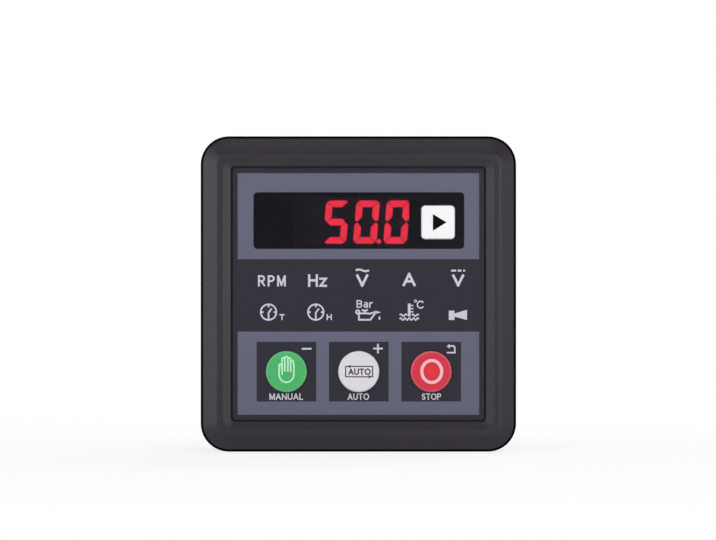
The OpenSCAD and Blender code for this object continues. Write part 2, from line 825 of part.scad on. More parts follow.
// Outline of one segment or decimal point of a digit
module glyph(k, s) {
    translate(digits_place) translate([(k - (len(glowing) - 1) / 2) * digit_pitch, 0]) {
        if (s < len(segments)) polygon(segment_outline(segments[s]));
        else translate(lean([digit_half_w + dot_d / 2, dot_d / 2 - digit_half_h])) circle(d = dot_d);
    }
}

// Whether a segment of a digit glows
function glows(k, s) = len([for (letter = glowing[k]) if (letter == segment_letters[s]) letter]) > 0;

// Cast fillings of the segment pockets, either the glowing ones or the dark ones
module fillings(lit) {
    stand() translate([0, 0, module_z - segment_depth]) linear_extrude(segment_depth)
        for (k = digit_numbers, s = segment_numbers) if (glows(k, s) == lit) glyph(k, s);
}

module digit_module() {
    color("#161618") stand() difference() {
        translate(digits_place) block(module_w, module_h, board_z, module_z);
        translate([0, 0, module_z - segment_depth]) linear_extrude(segment_depth + cut)
            for (k = digit_numbers, s = segment_numbers) glyph(k, s);
    }
}

module lit_segments() {
    color("#f0283c") fillings(true);
}

module dark_segments() {
    color("#2a2226") fillings(false);
}

module light_baffle() {
    baffle_w = 4 * icon_pitch + well_w + 2 * baffle_wall;
    baffle_h = icon_row_pitch + well_h + 2 * baffle_wall;
    color(black_plastic) stand() difference() {
        translate([icons_x, 0, 0]) block(baffle_w, baffle_h, board_z, fascia_rear_z);
        for (p = well_places) translate(p) block(well_w, well_h, board_z - cut, fascia_rear_z + cut);
    }
}

module indicator_lamps() {
    lamp_r = lamp_d / 2;
    foot_r = lamp_r + lamp_foot_w;
    color("#e6e2d6") stand() for (p = well_places) translate([p[0], p[1], board_z]) turned(concat(
        [[0, 0], [foot_r, 0], [foot_r, lamp_foot_t], [lamp_r, lamp_foot_t]],
        arc(0, lamp_h - lamp_r, lamp_r, 0, 90)
    ));
}

// Circuit board with its four fixing holes
module board(low) {
    color(board_colour) stand() translate([0, 0, low]) linear_extrude(board_t) difference() {
        square(board_size, center = true);
        for (p = corners) translate(p) circle(stud_r + board_hole_clear);
    }
}

module front_board() {
    board(board_rear_z);
}

module controller_chip() {
    color(black_plastic) stand() translate([-chip_x, chip_y, 0])
        block(chip_size, chip_size, board_rear_z - chip_t, board_rear_z);
}

module display_driver() {
    color(black_plastic) stand() translate([driver_x, driver_y, 0])
        block(driver_w, driver_h, board_rear_z - driver_t, board_rear_z);
}

// Moulded strip of the link between the boards, with a hole for each pin
module link_strip(low, high) {
    color(black_plastic) stand() difference() {
        translate([link_x, -link_drop, 0]) block(link_w, link_h, low, high);
        for (p = link_places) translate(p)
            block(link_pin + 2 * link_clear, link_pin + 2 * link_clear, low - cut, high + cut);
    }
}

module link_base() {
    link_strip(board_rear_z - link_base_depth, board_rear_z);
}

module link_socket() {
    link_strip(power_z, power_z + link_socket_depth);
}

module link_pins() {
    color(brass_colour) stand() for (p = link_places) translate(p)
        block(link_pin, link_pin, power_z + link_socket_depth - link_engage, board_rear_z);
}

// Hexagonal spacers, each with a stud into the bezel and a tapped hole for a board screw
module board_spacers() {
    color(brass_colour) stand() for (p = corners) translate(p) difference() {
        union() {
            translate([0, 0, power_z])
                cylinder(h = board_rear_z - power_z, r = spacer_flats / 2 / cos(30), $fn = 6);
            translate([0, 0, board_rear_z - cut]) cylinder(h = board_t + stud_len + cut, r = stud_r);
        }
        translate([0, 0, power_z - cut]) cylinder(h = spacer_hole_depth + cut, r = stud_r - thread_clear);
    }
}

module power_board() {
    board(power_rear_z);
}

module board_screws() {
    shank_r = stud_r - 2 * thread_clear;
    color(steel_colour) stand() for (p = corners) translate([p[0], p[1], power_rear_z]) mirror([0, 0, 1])
        difference() {
            turned(concat(
                [
                    [0, -board_t - board_screw_grip], [shank_r, -board_t - board_screw_grip],
                    [shank_r, 0], [board_screw_head_d / 2, 0]
                ],
                arc(board_screw_head_d / 2 - key_edge_r, board_screw_head_h - key_edge_r, key_edge_r, 0, 90),
                [[0, board_screw_head_h]]
            ));
            driver_slot(board_screw_head_h, board_screw_head_d);
        }
}

module relays() {
    color("#2b4f8c") stand() for (y = signs) translate([-relay_x, y * relay_y, 0])
        plate(relay_w, relay_h, relay_corner_r, power_z, power_z + relay_depth);
}

module capacitors() {
    r = capacitor_d / 2;
    color("#23252c") stand() for (x = signs)
        translate([capacitors_x + x * capacitor_pitch / 2, capacitors_y, power_z]) turned(concat(
            [[0, 0], [r, 0]],
            arc(r, capacitor_groove, capacitor_bead, 270, 90),
            arc(r - capacitor_bead, capacitor_depth - capacitor_bead, capacitor_bead, 0, 90),
            [[0, capacitor_depth]]
        ));
}

module supply_choke() {
    r = choke_d / 2;
    waist_r = r - choke_flange_t / 2;
    color("#4a4642") stand() translate([capacitors_x, choke_y, power_z]) turned([
        [0, 0], [r, 0], [r, choke_flange_t], [waist_r, choke_flange_t],
        [waist_r, choke_depth - choke_flange_t], [r, choke_depth - choke_flange_t],
        [r, choke_depth], [0, choke_depth]
    ]);
}

// Places a terminal row: the upper one as drawn, the lower one turned over
module terminal_row(upper) {
    stand() mirror([0, upper ? 0 : 1, 0]) translate([0, row_y, 0]) children();
}

// Shrouded socket of one terminal row
module socket(upper) {
    color(terminal_colour) terminal_row(upper) difference() {
        block(socket_w, socket_h, socket_rear_z, power_rear_z);
        block(socket_inner_w, socket_inner_h, socket_rear_z - cut, socket_floor_z);
        for (x = pole_places) translate([x, 0, 0]) {
            block(pin_w + 2 * pin_clear, pin_w + 2 * pin_clear, socket_floor_z - cut, power_rear_z + cut);
            code_rib(code_gap, socket_rear_z - cut);
        }
    }
}

module upper_socket() {
    socket(true);
}

module lower_socket() {
    socket(false);
}

// Contact pins of one terminal row
module socket_pins(upper) {
    color(brass_colour) terminal_row(upper) for (x = pole_places) translate([x, 0, 0])
        block(pin_w, pin_w, socket_floor_z - pin_len, power_rear_z);
}

module upper_pins() {
    socket_pins(true);
}

module lower_pins() {
    socket_pins(false);
}

// Side outline of a plug, with its nose inside the socket
module plug_outline() {
    half = nose_h / 2;
    polygon([
        [-half, socket_rear_z], [-half, nose_z - nose_chamfer], [nose_chamfer - half, nose_z],
        [half - nose_chamfer, nose_z], [half, nose_z - nose_chamfer], [half, socket_rear_z],
        [plug_rise, socket_rear_z], [plug_rise, plug_rear_z + plug_chamfer],
        [plug_rise - plug_chamfer, plug_rear_z], [-plug_fall, plug_rear_z], [-plug_fall, socket_rear_z]
    ]);
}

// Coding rib under a plug's nose, grown by a gap to cut its slot in the socket
module code_rib(gap, rear_z) {
    width = code_rib_w + 2 * gap;
    depth = code_rib_h + gap;
    front_z = nose_z - code_rib_inset + gap;
    translate([0, -nose_h / 2, 0]) block(width, 2 * depth, rear_z, front_z);
}

// Hollow of one pole: contact slot, wire clamp chamber, wire entry and screw shaft
module pole_hollow() {
    cavity_h = cage_h + 2 * cage_clear;
    block(contact_slot, contact_slot, socket_rear_z + cut, nose_z + cut);
    translate([0, -entry_drop, cage_z])
        cube([cavity_w, cavity_h, cage_len + 2 * cage_clear], center = true);
    translate([0, -entry_drop, 0]) block(entry_size, entry_size, plug_rear_z - cut, cage_z);
    translate([0, 0, cage_z]) rotate([-90, 0, 0])
        cylinder(h = plug_rise + cut, d = terminal_head_d + 2 * terminal_clear);
}

// Pluggable terminal block of one row
module plug(upper) {
    color(terminal_colour) terminal_row(upper) difference() {
        union() {
            translate([-plug_w / 2, 0, 0]) rotate([90, 0, 90]) linear_extrude(plug_w) plug_outline();
            for (x = pole_places) translate([x, 0, 0]) code_rib(0, socket_rear_z - cut);
        }
        for (x = pole_places) translate([x, 0, 0]) pole_hollow();
        for (i = [1:poles - 1]) translate([pole_places[i] - pole_pitch / 2, 0, 0]) {
            translate([0, plug_rise, 0]) block(groove_w, 2 * groove_depth, plug_rear_z - cut, socket_rear_z);
            block(groove_w, 2 * plug_rise + cut, plug_rear_z - cut, plug_rear_z + groove_depth);
        }
    }
}

module upper_plug() {
    plug(true);
}

module lower_plug() {
    plug(false);
}

// Metal clamps that grip the wires
module wire_clamps(upper) {
    color(steel_colour) terminal_row(upper) for (x = pole_places) translate([x, -entry_drop, cage_z])
        difference() {
            cube([cage_w, cage_h, cage_len], center = true);
            cube([cage_w - 2 * cage_wall, cage_h - 2 * cage_wall, cage_len + cut], center = true);
        }
}

module upper_wire_clamps() {
    wire_clamps(true);
}

module lower_wire_clamps() {
    wire_clamps(false);
}

// Slotted screws that close the wire clamps
module terminal_screws(upper) {
    top = plug_rise - terminal_sink;
    shoulder = top - terminal_head_h;
    color(steel_colour) terminal_row(upper) for (x = pole_places) translate([x, 0, cage_z])
        rotate([-90, 0, 0]) difference() {
            turned([
                [0, cage_top], [terminal_shank_d / 2, cage_top], [terminal_shank_d / 2, shoulder],
                [terminal_head_d / 2, shoulder], [terminal_head_d / 2, top], [0, top]
            ]);
            driver_slot(top, terminal_head_d + cut);
        }
}

module upper_terminal_screws() {
    terminal_screws(true);
}

module lower_terminal_screws() {
    terminal_screws(false);
}

// Cooling slots of one wall, drawn on the top side
module vents() {
    first_x = -(vent_count - 1) / 2 * vent_pitch;
    for (i = [0:vent_count - 1])
        translate([first_x + i * vent_pitch, case_half - case_wall / 2, case_rear_z + vent_inset])
            rotate([90, 0, 0]) translate([0, vent_len / 2, -case_wall]) linear_extrude(2 * case_wall)
                slot_outline(vent_w, vent_len);
}

// Slots of one side wall that take the clamp's hooks, drawn on the right side
module hook_slots() {
    for (front = hook_places) {
        rear_z = front - hook_neck - hook_gap;
        slot_len = hook_neck + hook_grip + 3 * hook_gap;
        translate([case_half - case_wall - cut, -hook_w / 2 - hook_gap, rear_z])
            cube([case_wall + 2 * cut, hook_w + 2 * hook_gap, slot_len]);
    }
}

module rear_case() {
    profile = concat(
        [[0, flange_z], [0, case_rear_z]],
        arc(case_corner_r - case_edge_r, case_rear_z + case_edge_r, case_edge_r, -90, 0),
        [[case_corner_r, flange_z]]
    );
    color("#2b2a2d") stand() difference() {
        profiled_square(case_size, case_corner_r, case_rear_z, flange_z, profile);
        plate(case_inner, case_inner, case_inner_r, case_rear_z + case_wall, flange_z + cut);
        for (y = signs) translate([0, y * row_y, 0])
            block(socket_w + 2 * socket_gap, socket_h + 2 * socket_gap, case_rear_z - cut,
                case_rear_z + case_wall + cut);
        for (side = [0, 180]) rotate(side) {
            vents();
            hook_slots();
            for (x = signs) translate([x * snap_x, case_half - case_wall / 2, 0])
                block(snap_w + 2 * snap_gap, 2 * case_wall, flange_z - snap_drop - snap_len - snap_gap,
                    flange_z - snap_drop + snap_gap);
        }
    }
}

module panel_gasket() {
    color("#1c1c1e") stand() linear_extrude(gasket_t) difference() {
        round_rect(gasket_outer, gasket_outer, bezel_corner_r - gasket_inset);
        round_rect(gasket_inner, gasket_inner, case_corner_r + gasket_gap);
    }
}

// Panel clamp that hooks into one side of the rear case
module panel_clamp(side) {
    inner_x = case_half + clamp_gap;
    lip_x = case_half - case_wall - hook_gap;
    rear_z = -clamp_drop - clamp_len;
    web_y = clamp_w / 2 - clamp_web_step;
    barrel_r = clamp_barrel_d / 2;
    color("#2f2e31") stand() mirror([side < 0 ? 1 : 0, 0, 0]) difference() {
        union() {
            translate([inner_x + clamp_foot_t / 2, 0, 0])
                plate(clamp_foot_t, clamp_w, clamp_corner_r, rear_z, -clamp_drop);
            translate([clamp_screw_axis, 0, rear_z]) cylinder(h = clamp_len, r = barrel_r);
            for (i = [0:clamp_webs - 1])
                translate([0, 0, rear_z + i * (clamp_len - clamp_web_t) / (clamp_webs - 1)])
                    linear_extrude(clamp_web_t) polygon([
                        [inner_x, -web_y], [inner_x + clamp_foot_t, -web_y], [clamp_screw_axis, -barrel_r],
                        [clamp_screw_axis, barrel_r], [inner_x + clamp_foot_t, web_y], [inner_x, web_y]
                    ]);
            for (front = hook_places) {
                translate([lip_x - hook_lip, -hook_w / 2, front - hook_neck])
                    cube([inner_x + clamp_foot_t / 2 - lip_x + hook_lip, hook_w, hook_neck]);
                translate([lip_x - hook_lip, -hook_w / 2, front - hook_neck - hook_grip])
                    cube([hook_lip, hook_w, hook_neck + hook_grip]);
            }
        }
        translate([clamp_screw_axis, 0, -clamp_drop - clamp_len - cut])
            cylinder(h = clamp_len + 2 * cut, r = clamp_screw_d / 2 + clamp_screw_clear);
    }
}

module left_clamp() {
    panel_clamp(-1);
}

module right_clamp() {
    panel_clamp(1);
}

// Screw that presses a clamp away from the panel
module clamp_screw(side) {
    shank_r = clamp_screw_d / 2;
    head_r = clamp_head_d / 2;
    round_r = clamp_head_h / 2;
    top = clamp_screw_len + clamp_head_h;
    color(steel_colour) stand() translate([side * clamp_screw_axis, 0, -clamp_tip]) mirror([0, 0, 1])
        difference() {
            turned(concat(
                [
                    [0, 0], [shank_r - clamp_tip_chamfer, 0], [shank_r, clamp_tip_chamfer],
                    [shank_r, clamp_screw_len], [head_r, clamp_screw_len]
                ],
                arc(head_r - round_r, top - round_r, round_r, 0, 90),
                [[0, top]]
            ));
            driver_slot(top, clamp_head_d + cut);
        }
}

module left_clamp_screw() {
    clamp_screw(-1);
}

module right_clamp_screw() {
    clamp_screw(1);
}

front_bezel();
front_overlay();
printed_fields();
display_window();
manual_key();
auto_key();
stop_key();
page_key();
manual_plunger();
auto_plunger();
stop_plunger();
page_plunger();
key_switches();
digit_module();
lit_segments();
dark_segments();
light_baffle();
indicator_lamps();
front_board();
controller_chip();
display_driver();
link_base();
link_pins();
link_socket();
board_spacers();
power_board();
board_screws();
relays();
capacitors();
supply_choke();
upper_socket();
lower_socket();
upper_pins();
lower_pins();
upper_plug();
lower_plug();
upper_wire_clamps();
lower_wire_clamps();
upper_terminal_screws();
lower_terminal_screws();
rear_case();
panel_gasket();
left_clamp();
right_clamp();
left_clamp_screw();
right_clamp_screw();
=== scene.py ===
"""Finishes, printed signs and studio for a square panel-mounted genset controller."""

import math

import bmesh
import bpy
from bpy.props import FloatProperty, FloatVectorProperty, PointerProperty
from mathutils import Matrix, Vector


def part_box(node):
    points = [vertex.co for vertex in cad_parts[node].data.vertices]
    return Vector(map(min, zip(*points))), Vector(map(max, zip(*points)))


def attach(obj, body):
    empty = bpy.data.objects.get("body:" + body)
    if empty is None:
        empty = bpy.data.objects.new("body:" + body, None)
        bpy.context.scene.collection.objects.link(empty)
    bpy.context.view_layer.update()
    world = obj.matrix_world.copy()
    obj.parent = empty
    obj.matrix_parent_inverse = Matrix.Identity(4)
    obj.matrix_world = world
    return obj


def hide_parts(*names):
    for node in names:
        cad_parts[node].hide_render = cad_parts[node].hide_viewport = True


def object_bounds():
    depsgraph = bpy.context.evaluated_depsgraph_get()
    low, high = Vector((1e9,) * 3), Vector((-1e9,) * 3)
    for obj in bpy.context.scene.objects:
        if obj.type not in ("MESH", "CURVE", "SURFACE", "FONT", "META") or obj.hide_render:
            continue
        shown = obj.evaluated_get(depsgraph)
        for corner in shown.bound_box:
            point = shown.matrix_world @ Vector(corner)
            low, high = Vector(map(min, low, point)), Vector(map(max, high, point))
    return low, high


bl_info = {
    "name": "Genset Controller",
    "version": (1, 0, 0),
    "blender": (4, 5, 0),
    "location": "3D View > Sidebar > Genset",
    "description": "Dresses the controller's solids, prints its signs and sets up the studio",
    "category": "Object",
}

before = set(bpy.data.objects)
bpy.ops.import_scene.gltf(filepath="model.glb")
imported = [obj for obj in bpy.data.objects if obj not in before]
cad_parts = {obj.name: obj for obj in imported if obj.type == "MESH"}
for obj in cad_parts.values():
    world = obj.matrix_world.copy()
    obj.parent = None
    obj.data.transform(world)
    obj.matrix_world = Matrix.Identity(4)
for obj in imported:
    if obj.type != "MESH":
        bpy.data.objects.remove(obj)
CAD_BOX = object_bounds()
MM = 0.001

# Depths of the printed front, of the round keys' and the page key's tops, and of the case's rear
FILM_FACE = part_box("front_overlay")[0].y
KEY_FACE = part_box("manual_key")[0].y
PAGE_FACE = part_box("page_key")[0].y
CASE_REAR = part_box("rear_case")[1].y


def middle(node):
    """Middle of a node's box as x and z in millimetres."""
    low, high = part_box(node)
    return ((low.x + high.x) / 2 / MM, (low.z + high.z) / 2 / MM)


def screen(code):
    """Linear colour of a hex colour as a screen shows it."""
    shown = [int(code[place:place + 2], 16) / 255 for place in (1, 3, 5)]
    linear = [c / 12.92 if c <= 0.04045 else ((c + 0.055) / 1.055) ** 2.4 for c in shown]
    return (*linear, 1.0)


def length(name, description, millimetres):
    """A length that the user can change."""
    return FloatProperty(name=name, description=description, default=millimetres * MM, unit="LENGTH")


def amount(name, description, value):
    """A brightness or a share that the user can change."""
    return FloatProperty(name=name, description=description, default=value, min=0)


def colour(name, description, code):
    """A colour that the user can change."""
    return FloatVectorProperty(
        name=name, description=description, default=screen(code), size=4, min=0, max=1, subtype="COLOR"
    )


class GensetSizes(bpy.types.PropertyGroup):
    """Sizes of what is printed, moulded and cut here."""

    ink_height: length("Ink height", "Height of the printed signs above the film", 0.02)
    ink_sink: length("Ink sink", "How far the signs reach into the film", 0.01)
    sign_pitch: length("Sign pitch", "Distance between two columns of signs", 11.4)
    sign_rows: length("Sign rows", "Distance between the two rows of signs", 8.2)
    # The next six sizes place the bezel's painted shade: its dark outer edge and the dark gap round the
    # overlay
    flange_edge: length("Flange edge", "Width of the bezel's dark outer edge", 0.72)
    flange_depth: length("Flange depth", "From the ridge to the rear of the dark outer edge", 1.8)
    flange_corner: length("Flange corner", "Corner radius of the bezel", 7.0)
    edge_blend: length("Edge blend", "Width over which the bezel's dark lines fade in", 0.2)
    recess_gap: length("Recess gap", "Gap between the overlay and the bezel", 0.4)
    recess_corner: length("Recess corner", "Corner radius of the recess that holds the overlay", 1.0)
    cap_diameter: length("Cap diameter", "Diameter of the round keys", 10.2)
    # Painted highlight: width of the pale rim on the round keys
    cap_rim_highlight: length("Cap rim", "Width over which the round keys get paler at the edge", 0.6)
    cap_core: length("Cap core", "Radius of the vivid middle of the stop key", 0.9)
    bold_line: length("Bold line", "Width of the lines of the unit signs", 0.56)
    wave_line: length("Wave line", "Width of the wave above the voltage sign", 0.5)
    sign_line: length("Sign line", "Width of the lines of the meter signs", 0.4)
    thin_line: length("Thin line", "Width of the lines of the small words", 0.3)
    word_line: length("Word line", "Width of the lines of the words below the keys", 0.27)
    corner_line: length("Corner line", "Width of the lines of the signs above the keys", 0.44)
    hook_line: length("Hook line", "Width of the line of the back sign", 0.37)
    hand_line: length("Hand line", "Width of the lines of the hand", 0.38)
    loop_line: length("Loop line", "Width of the lines of the loop", 0.28)
    loop_letters: length("Loop letters", "Width of the lines of the word in the loop", 0.34)
    ring_line: length("Ring line", "Width of the ring on the stop key", 0.78)
    pole_pitch: length("Pole pitch", "Distance from terminal to terminal", 5.08)
    number_height: length("Number height", "Height of the terminal numbers", 1.7)
    thread_pitch: length("Thread pitch", "Pitch of the clamp screws' thread", 0.5)
    thread_depth: length("Thread depth", "Depth of the clamp screws' thread", 0.28)
    thread_overlap: length("Thread overlap", "How far the thread reaches into the screw's head", 0.3)
    thread_chamfer: length("Thread chamfer", "Chamfer at the tip of the clamp screws", 0.5)


class GensetColours(bpy.types.PropertyGroup):
    """Colours of the finishes."""

    bezel: colour("Bezel", "Moulded front frame", "#29242b")
    case: colour("Rear case", "Moulded rear case", "#242326")
    film: colour("Film", "Dark film of the front", "#25222e")
    slate: colour("Slate", "Slate fields printed on the film", "#616378")
    window: colour("Window", "Tint of the display window", "#7a6c7a")
    ink: colour("Ink", "Pale ink of the signs", "#d0cbd6")
    green: colour("Green key", "Cap of the manual key", "#3bb562")
    pale: colour("Pale key", "Cap of the auto key", "#e2dfe3")
    red: colour("Red key", "Cap of the stop key", "#d41737")
    vivid: colour("Vivid red", "Middle of the stop key's cap", "#ea0a24")
    page: colour("Page key", "Cap of the page key", "#fafafc")
    dark_ink: colour("Dark ink", "Dark ink on the auto key", "#4a4354")
    arrow_ink: colour("Arrow ink", "Black ink on the page key", "#09090c")
    hand: colour("Hand", "Pale green ink of the hand", "#c2f5d0")
    ring: colour("Ring", "Pale pink ink of the ring", "#ffbcc6")
    glow: colour("Glow", "Light of the display", "#ff3747")
    terminal: colour("Terminals", "Pluggable terminal blocks", "#2c8a48")
    board: colour("Boards", "Solder mask of the boards", "#1f5a33")
    brass: colour("Brass", "Plated contacts", "#c7a65c")
    steel: colour("Steel", "Plated screws", "#c3c5c8")
    rubber: colour("Rubber", "Panel gasket", "#1d1d1f")
    # Painted shade: near black on the bezel's outer edge and in the gap round the overlay, where these fall
    # in shade
    edge: colour("Dark edge", "Outer edge of the bezel and gap round the overlay", "#08080a")
    # Painted highlight: mixed into the rims of the round keys
    rim: colour("Pale edge", "Mixed into the edge of the round keys", "#c8c4ca")
    sheen: colour("Window sheen", "Tint of the window's gloss", "#eae8ff")
    switch: colour("Switches", "Key switches and plungers", "#2a2a2c")
    digit_face: colour("Digit face", "Face of the digit module", "#09090c")
    dark_segment: colour("Dark segments", "Bars of the display that are off", "#241c20")
    baffle: colour("Baffle", "Light baffle", "#1c1c1e")
    lamp: colour("Lamps", "Epoxy of the indicator lamps", "#ded8c8")
    chip: colour("Chips", "Chips and the link of the boards", "#1b1b1d")
    relay: colour("Relays", "Housings of the relays", "#2a4f8f")
    sleeve: colour("Sleeves", "Sleeves of the capacitors", "#1d2533")
    ferrite: colour("Ferrite", "Core of the choke", "#4a4642")


class GensetStage(bpy.types.PropertyGroup):
    """Camera, light and floor."""

    distance: length("Distance", "From the camera to the front", 1200.0)
    field: length("Field", "Width of the picture at the front", 177.0)
    camera_x: length("Camera x", "Camera right of the middle", -0.1)
    camera_z: length("Camera z", "Camera above the middle", 5.93)
    ambient: amount("Ambient", "Light from all round", 0.65)
    front_shade: amount("Front shade", "Room behind the camera in reflections", 0.12)
    side_shade: amount("Side shade", "Sides of the room in reflections", 0.6)
    rear_shade: amount("Rear shade", "Room behind the object in reflections", 0.3)
    floor_half: length("Floor", "Half the floor's side", 4000.0)
    floor_grey: amount("Floor grey", "Grey of the floor to the camera", 0.9)
    floor_bounce: amount("Floor bounce", "Grey of the floor in the light that it throws back", 0.42)
    shadow: amount("Shadow", "Share of the floor that takes shadow", 0.22)
    shadow_near: length("Shadow near", "Where the floor's shadow starts to fade", 100.0)
    shadow_far: length("Shadow far", "Where the floor's shadow ends", 400.0)


GREY = (0.5, 0.5, 0.5, 1.0)
WHITE = (1.0, 1.0, 1.0, 1.0)

# What every finish group puts out, with a first value that gives the kind of socket
SKIN_OUTPUTS = {"Colour": GREY, "Roughness": 0.5, "Height": 0.0}
SOCKET_KINDS = {3: "NodeSocketVector", 4: "NodeSocketColor"}

# Numbers of the sockets that a Mix node uses for colours
MIX_FACTOR = 0
MIX_FIRST = 6
MIX_SECOND = 7
MIX_RESULT = 2

# Strength of the relief, shares of the painted shade in the gap round the overlay and of the painted
# highlight on the round keys' rims, and values of window and lit bars
BUMP_STRENGTH = 0.35
GAP_SHADE_SHARE = 0.45
RIM_HIGHLIGHT_SHARE = 0.25
WINDOW_IOR = 1.33
SEGMENT_CASTING = (0.2, 0.01, 0.015, 1.0)
GLOW_STRENGTH = 4.1


def socket_kind(value):
    """Kind of socket for a number, a vector or a colour."""
    return SOCKET_KINDS[len(value)] if isinstance(value, tuple) else "NodeSocketFloat"


def new_group(name, inputs, outputs):
    """An empty shader group with its named sockets, and its two end nodes."""
    group = bpy.data.node_groups.new(name, "ShaderNodeTree")
    for label, value in inputs.items():
        socket = group.interface.new_socket(label, in_out="INPUT", socket_type=socket_kind(value))
        socket.default_value = value
    for label, value in outputs.items():
        group.interface.new_socket(label, in_out="OUTPUT", socket_type=socket_kind(value))
    return group, group.nodes.new("NodeGroupInput"), group.nodes.new("NodeGroupOutput")


def close_group(group, end, **outputs):
    """Links what a group puts out."""
    for label, socket in outputs.items():
        group.links.new(socket, end.inputs[label])
    return group


def add_node(tree, kind, **settings):
    """A node with its settings."""
    made = tree.nodes.new(kind)
    for name, value in settings.items():
        setattr(made, name, value)
    return made


def feed(tree, socket, value):
    """Links a socket to another one, or sets it to a number or a colour."""
    if isinstance(value, bpy.types.NodeSocket):
        tree.links.new(value, socket)
    else:
        socket.default_value = value


def noise(tree, scale, detail=2.0, stretch=(1, 1, 1)):
    """Noise on Object coordinates, in features per metre."""
    place = add_node(tree, "ShaderNodeTexCoord")
    mapping = add_node(tree, "ShaderNodeMapping")
    mapping.inputs["Scale"].default_value = stretch
    texture = add_node(tree, "ShaderNodeTexNoise")
    texture.inputs["Detail"].default_value = detail
    tree.links.new(place.outputs["Object"], mapping.inputs["Vector"])
    tree.links.new(mapping.outputs["Vector"], texture.inputs["Vector"])
    feed(tree, texture.inputs["Scale"], scale)
    return texture.outputs["Fac"]


def mathed(tree, operation, first, second=0.0):
    """The result of a sum on two sockets or numbers."""
    made = add_node(tree, "ShaderNodeMath", operation=operation)
    feed(tree, made.inputs[0], first)
    feed(tree, made.inputs[1], second)
    return made.outputs["Value"]


def ranged(tree, value, low, high, start=0.0, stop=1.0):
    """A value between start and stop, spread over a range from low to high."""
    made = add_node(tree, "ShaderNodeMapRange")
    ends = {"Value": value, "From Min": start, "From Max": stop, "To Min": low, "To Max": high}
    for label, end in ends.items():
        feed(tree, made.inputs[label], end)
    return made.outputs["Result"]


def drifting(tree, value, share):
    """A factor that a value moves to both sides of 1 by a share."""
    return ranged(tree, value, mathed(tree, "SUBTRACT", 1.0, share), mathed(tree, "ADD", 1.0, share))


def shaded(tree, colour_socket, factor):
    """A colour made lighter or darker by a factor."""
    made = add_node(tree, "ShaderNodeVectorMath", operation="SCALE")
    tree.links.new(colour_socket, made.inputs[0])
    tree.links.new(factor, made.inputs["Scale"])
    return made.outputs["Vector"]


def mixed(tree, factor, first, second):
    """A colour between two, by a factor."""
    made = add_node(tree, "ShaderNodeMix", data_type="RGBA")
    for place, value in ((MIX_FACTOR, factor), (MIX_FIRST, first), (MIX_SECOND, second)):
        feed(tree, made.inputs[place], value)
    return made.outputs[MIX_RESULT]


def along_depth(tree, coordinates):
    """The y of one kind of coordinates."""
    place = add_node(tree, "ShaderNodeTexCoord")
    split = add_node(tree, "ShaderNodeSeparateXYZ")
    tree.links.new(place.outputs[coordinates], split.inputs["Vector"])
    return split.outputs["Y"]


def moulded_skin():
    """Group for moulded plastic and rubber: drifting tone, eroded grain and uneven gloss."""
    group, start, end = new_group(
        "Moulded Skin", {"Colour": GREY, "Drift": 0.08, "Grain": 2600.0, "Roughness": 0.45}, SKIN_OUTPUTS
    )
    given = start.outputs
    flow = noise(group, scale=70.0, detail=3.0)
    grain = noise(group, scale=given["Grain"], detail=3.0)
    speck = drifting(group, grain, share=0.06)
    tone = mathed(group, "MULTIPLY", drifting(group, flow, given["Drift"]), speck)
    return close_group(
        group, end,
        Colour=shaded(group, given["Colour"], tone),
        Roughness=mathed(group, "ADD", given["Roughness"], ranged(group, flow, low=-0.06, high=0.06)),
        Height=grain,
    )


def printed_film():
    """Group for film and ink: screen-print mottle, a fine tooth and faint wiping marks."""
    group, start, end = new_group(
        "Printed Film", {"Colour": GREY, "Mottle": 0.06, "Roughness": 0.5}, SKIN_OUTPUTS
    )
    given = start.outputs
    cloud = noise(group, scale=120.0, detail=4.0)
    wipe = noise(group, scale=60.0, detail=3.0, stretch=(1, 1, 9))
    return close_group(
        group, end,
        Colour=shaded(group, given["Colour"], drifting(group, cloud, given["Mottle"])),
        Roughness=mathed(group, "ADD", given["Roughness"], ranged(group, wipe, low=-0.05, high=0.05)),
        Height=noise(group, scale=7000.0),
    )


def plated_metal():
    """Group for plated metal: fine turning lines, dull patches and a slightly uneven colour."""
    group, start, end = new_group("Plated Metal", {"Colour": GREY, "Roughness": 0.28}, SKIN_OUTPUTS)
    given = start.outputs
    dull = noise(group, scale=500.0, detail=4.0)
    return close_group(
        group, end,
        Colour=shaded(group, given["Colour"], ranged(group, dull, low=0.82, high=1.08)),
        Roughness=mathed(group, "ADD", given["Roughness"], ranged(group, dull, low=-0.08, high=0.16)),
        Height=noise(group, scale=900.0, stretch=(1, 12, 1)),
    )


def rounded_rim():
    """Group for a mask that is 0 inside a square with round corners and 1 outside it, in metres."""
    group, start, end = new_group(
        "Rounded Rim", {"Centre": (0, 0, 0), "Half": 0.03, "Corner": 0.005, "Blend": 0.0003}, {"Mask": 0.0}
    )
    given = start.outputs
    place = add_node(group, "ShaderNodeTexCoord")
    shift = add_node(group, "ShaderNodeVectorMath", operation="SUBTRACT")
    split = add_node(group, "ShaderNodeSeparateXYZ")
    corner_axes = add_node(group, "ShaderNodeCombineXYZ")
    reach = add_node(group, "ShaderNodeVectorMath", operation="LENGTH")
    core = mathed(group, "SUBTRACT", given["Half"], given["Corner"])
    group.links.new(place.outputs["Object"], shift.inputs[0])
    group.links.new(given["Centre"], shift.inputs[1])
    group.links.new(shift.outputs["Vector"], split.inputs["Vector"])
    for axis in ("X", "Z"):
        side = mathed(group, "ABSOLUTE", split.outputs[axis])
        past_core = mathed(group, "MAXIMUM", mathed(group, "SUBTRACT", side, core), 0.0)
        group.links.new(past_core, corner_axes.inputs[axis])
    group.links.new(corner_axes.outputs["Vector"], reach.inputs[0])
    past = mathed(group, "SUBTRACT", reach.outputs["Value"], given["Corner"])
    return close_group(group, end, Mask=ranged(group, past, low=0.0, high=1.0, stop=given["Blend"]))


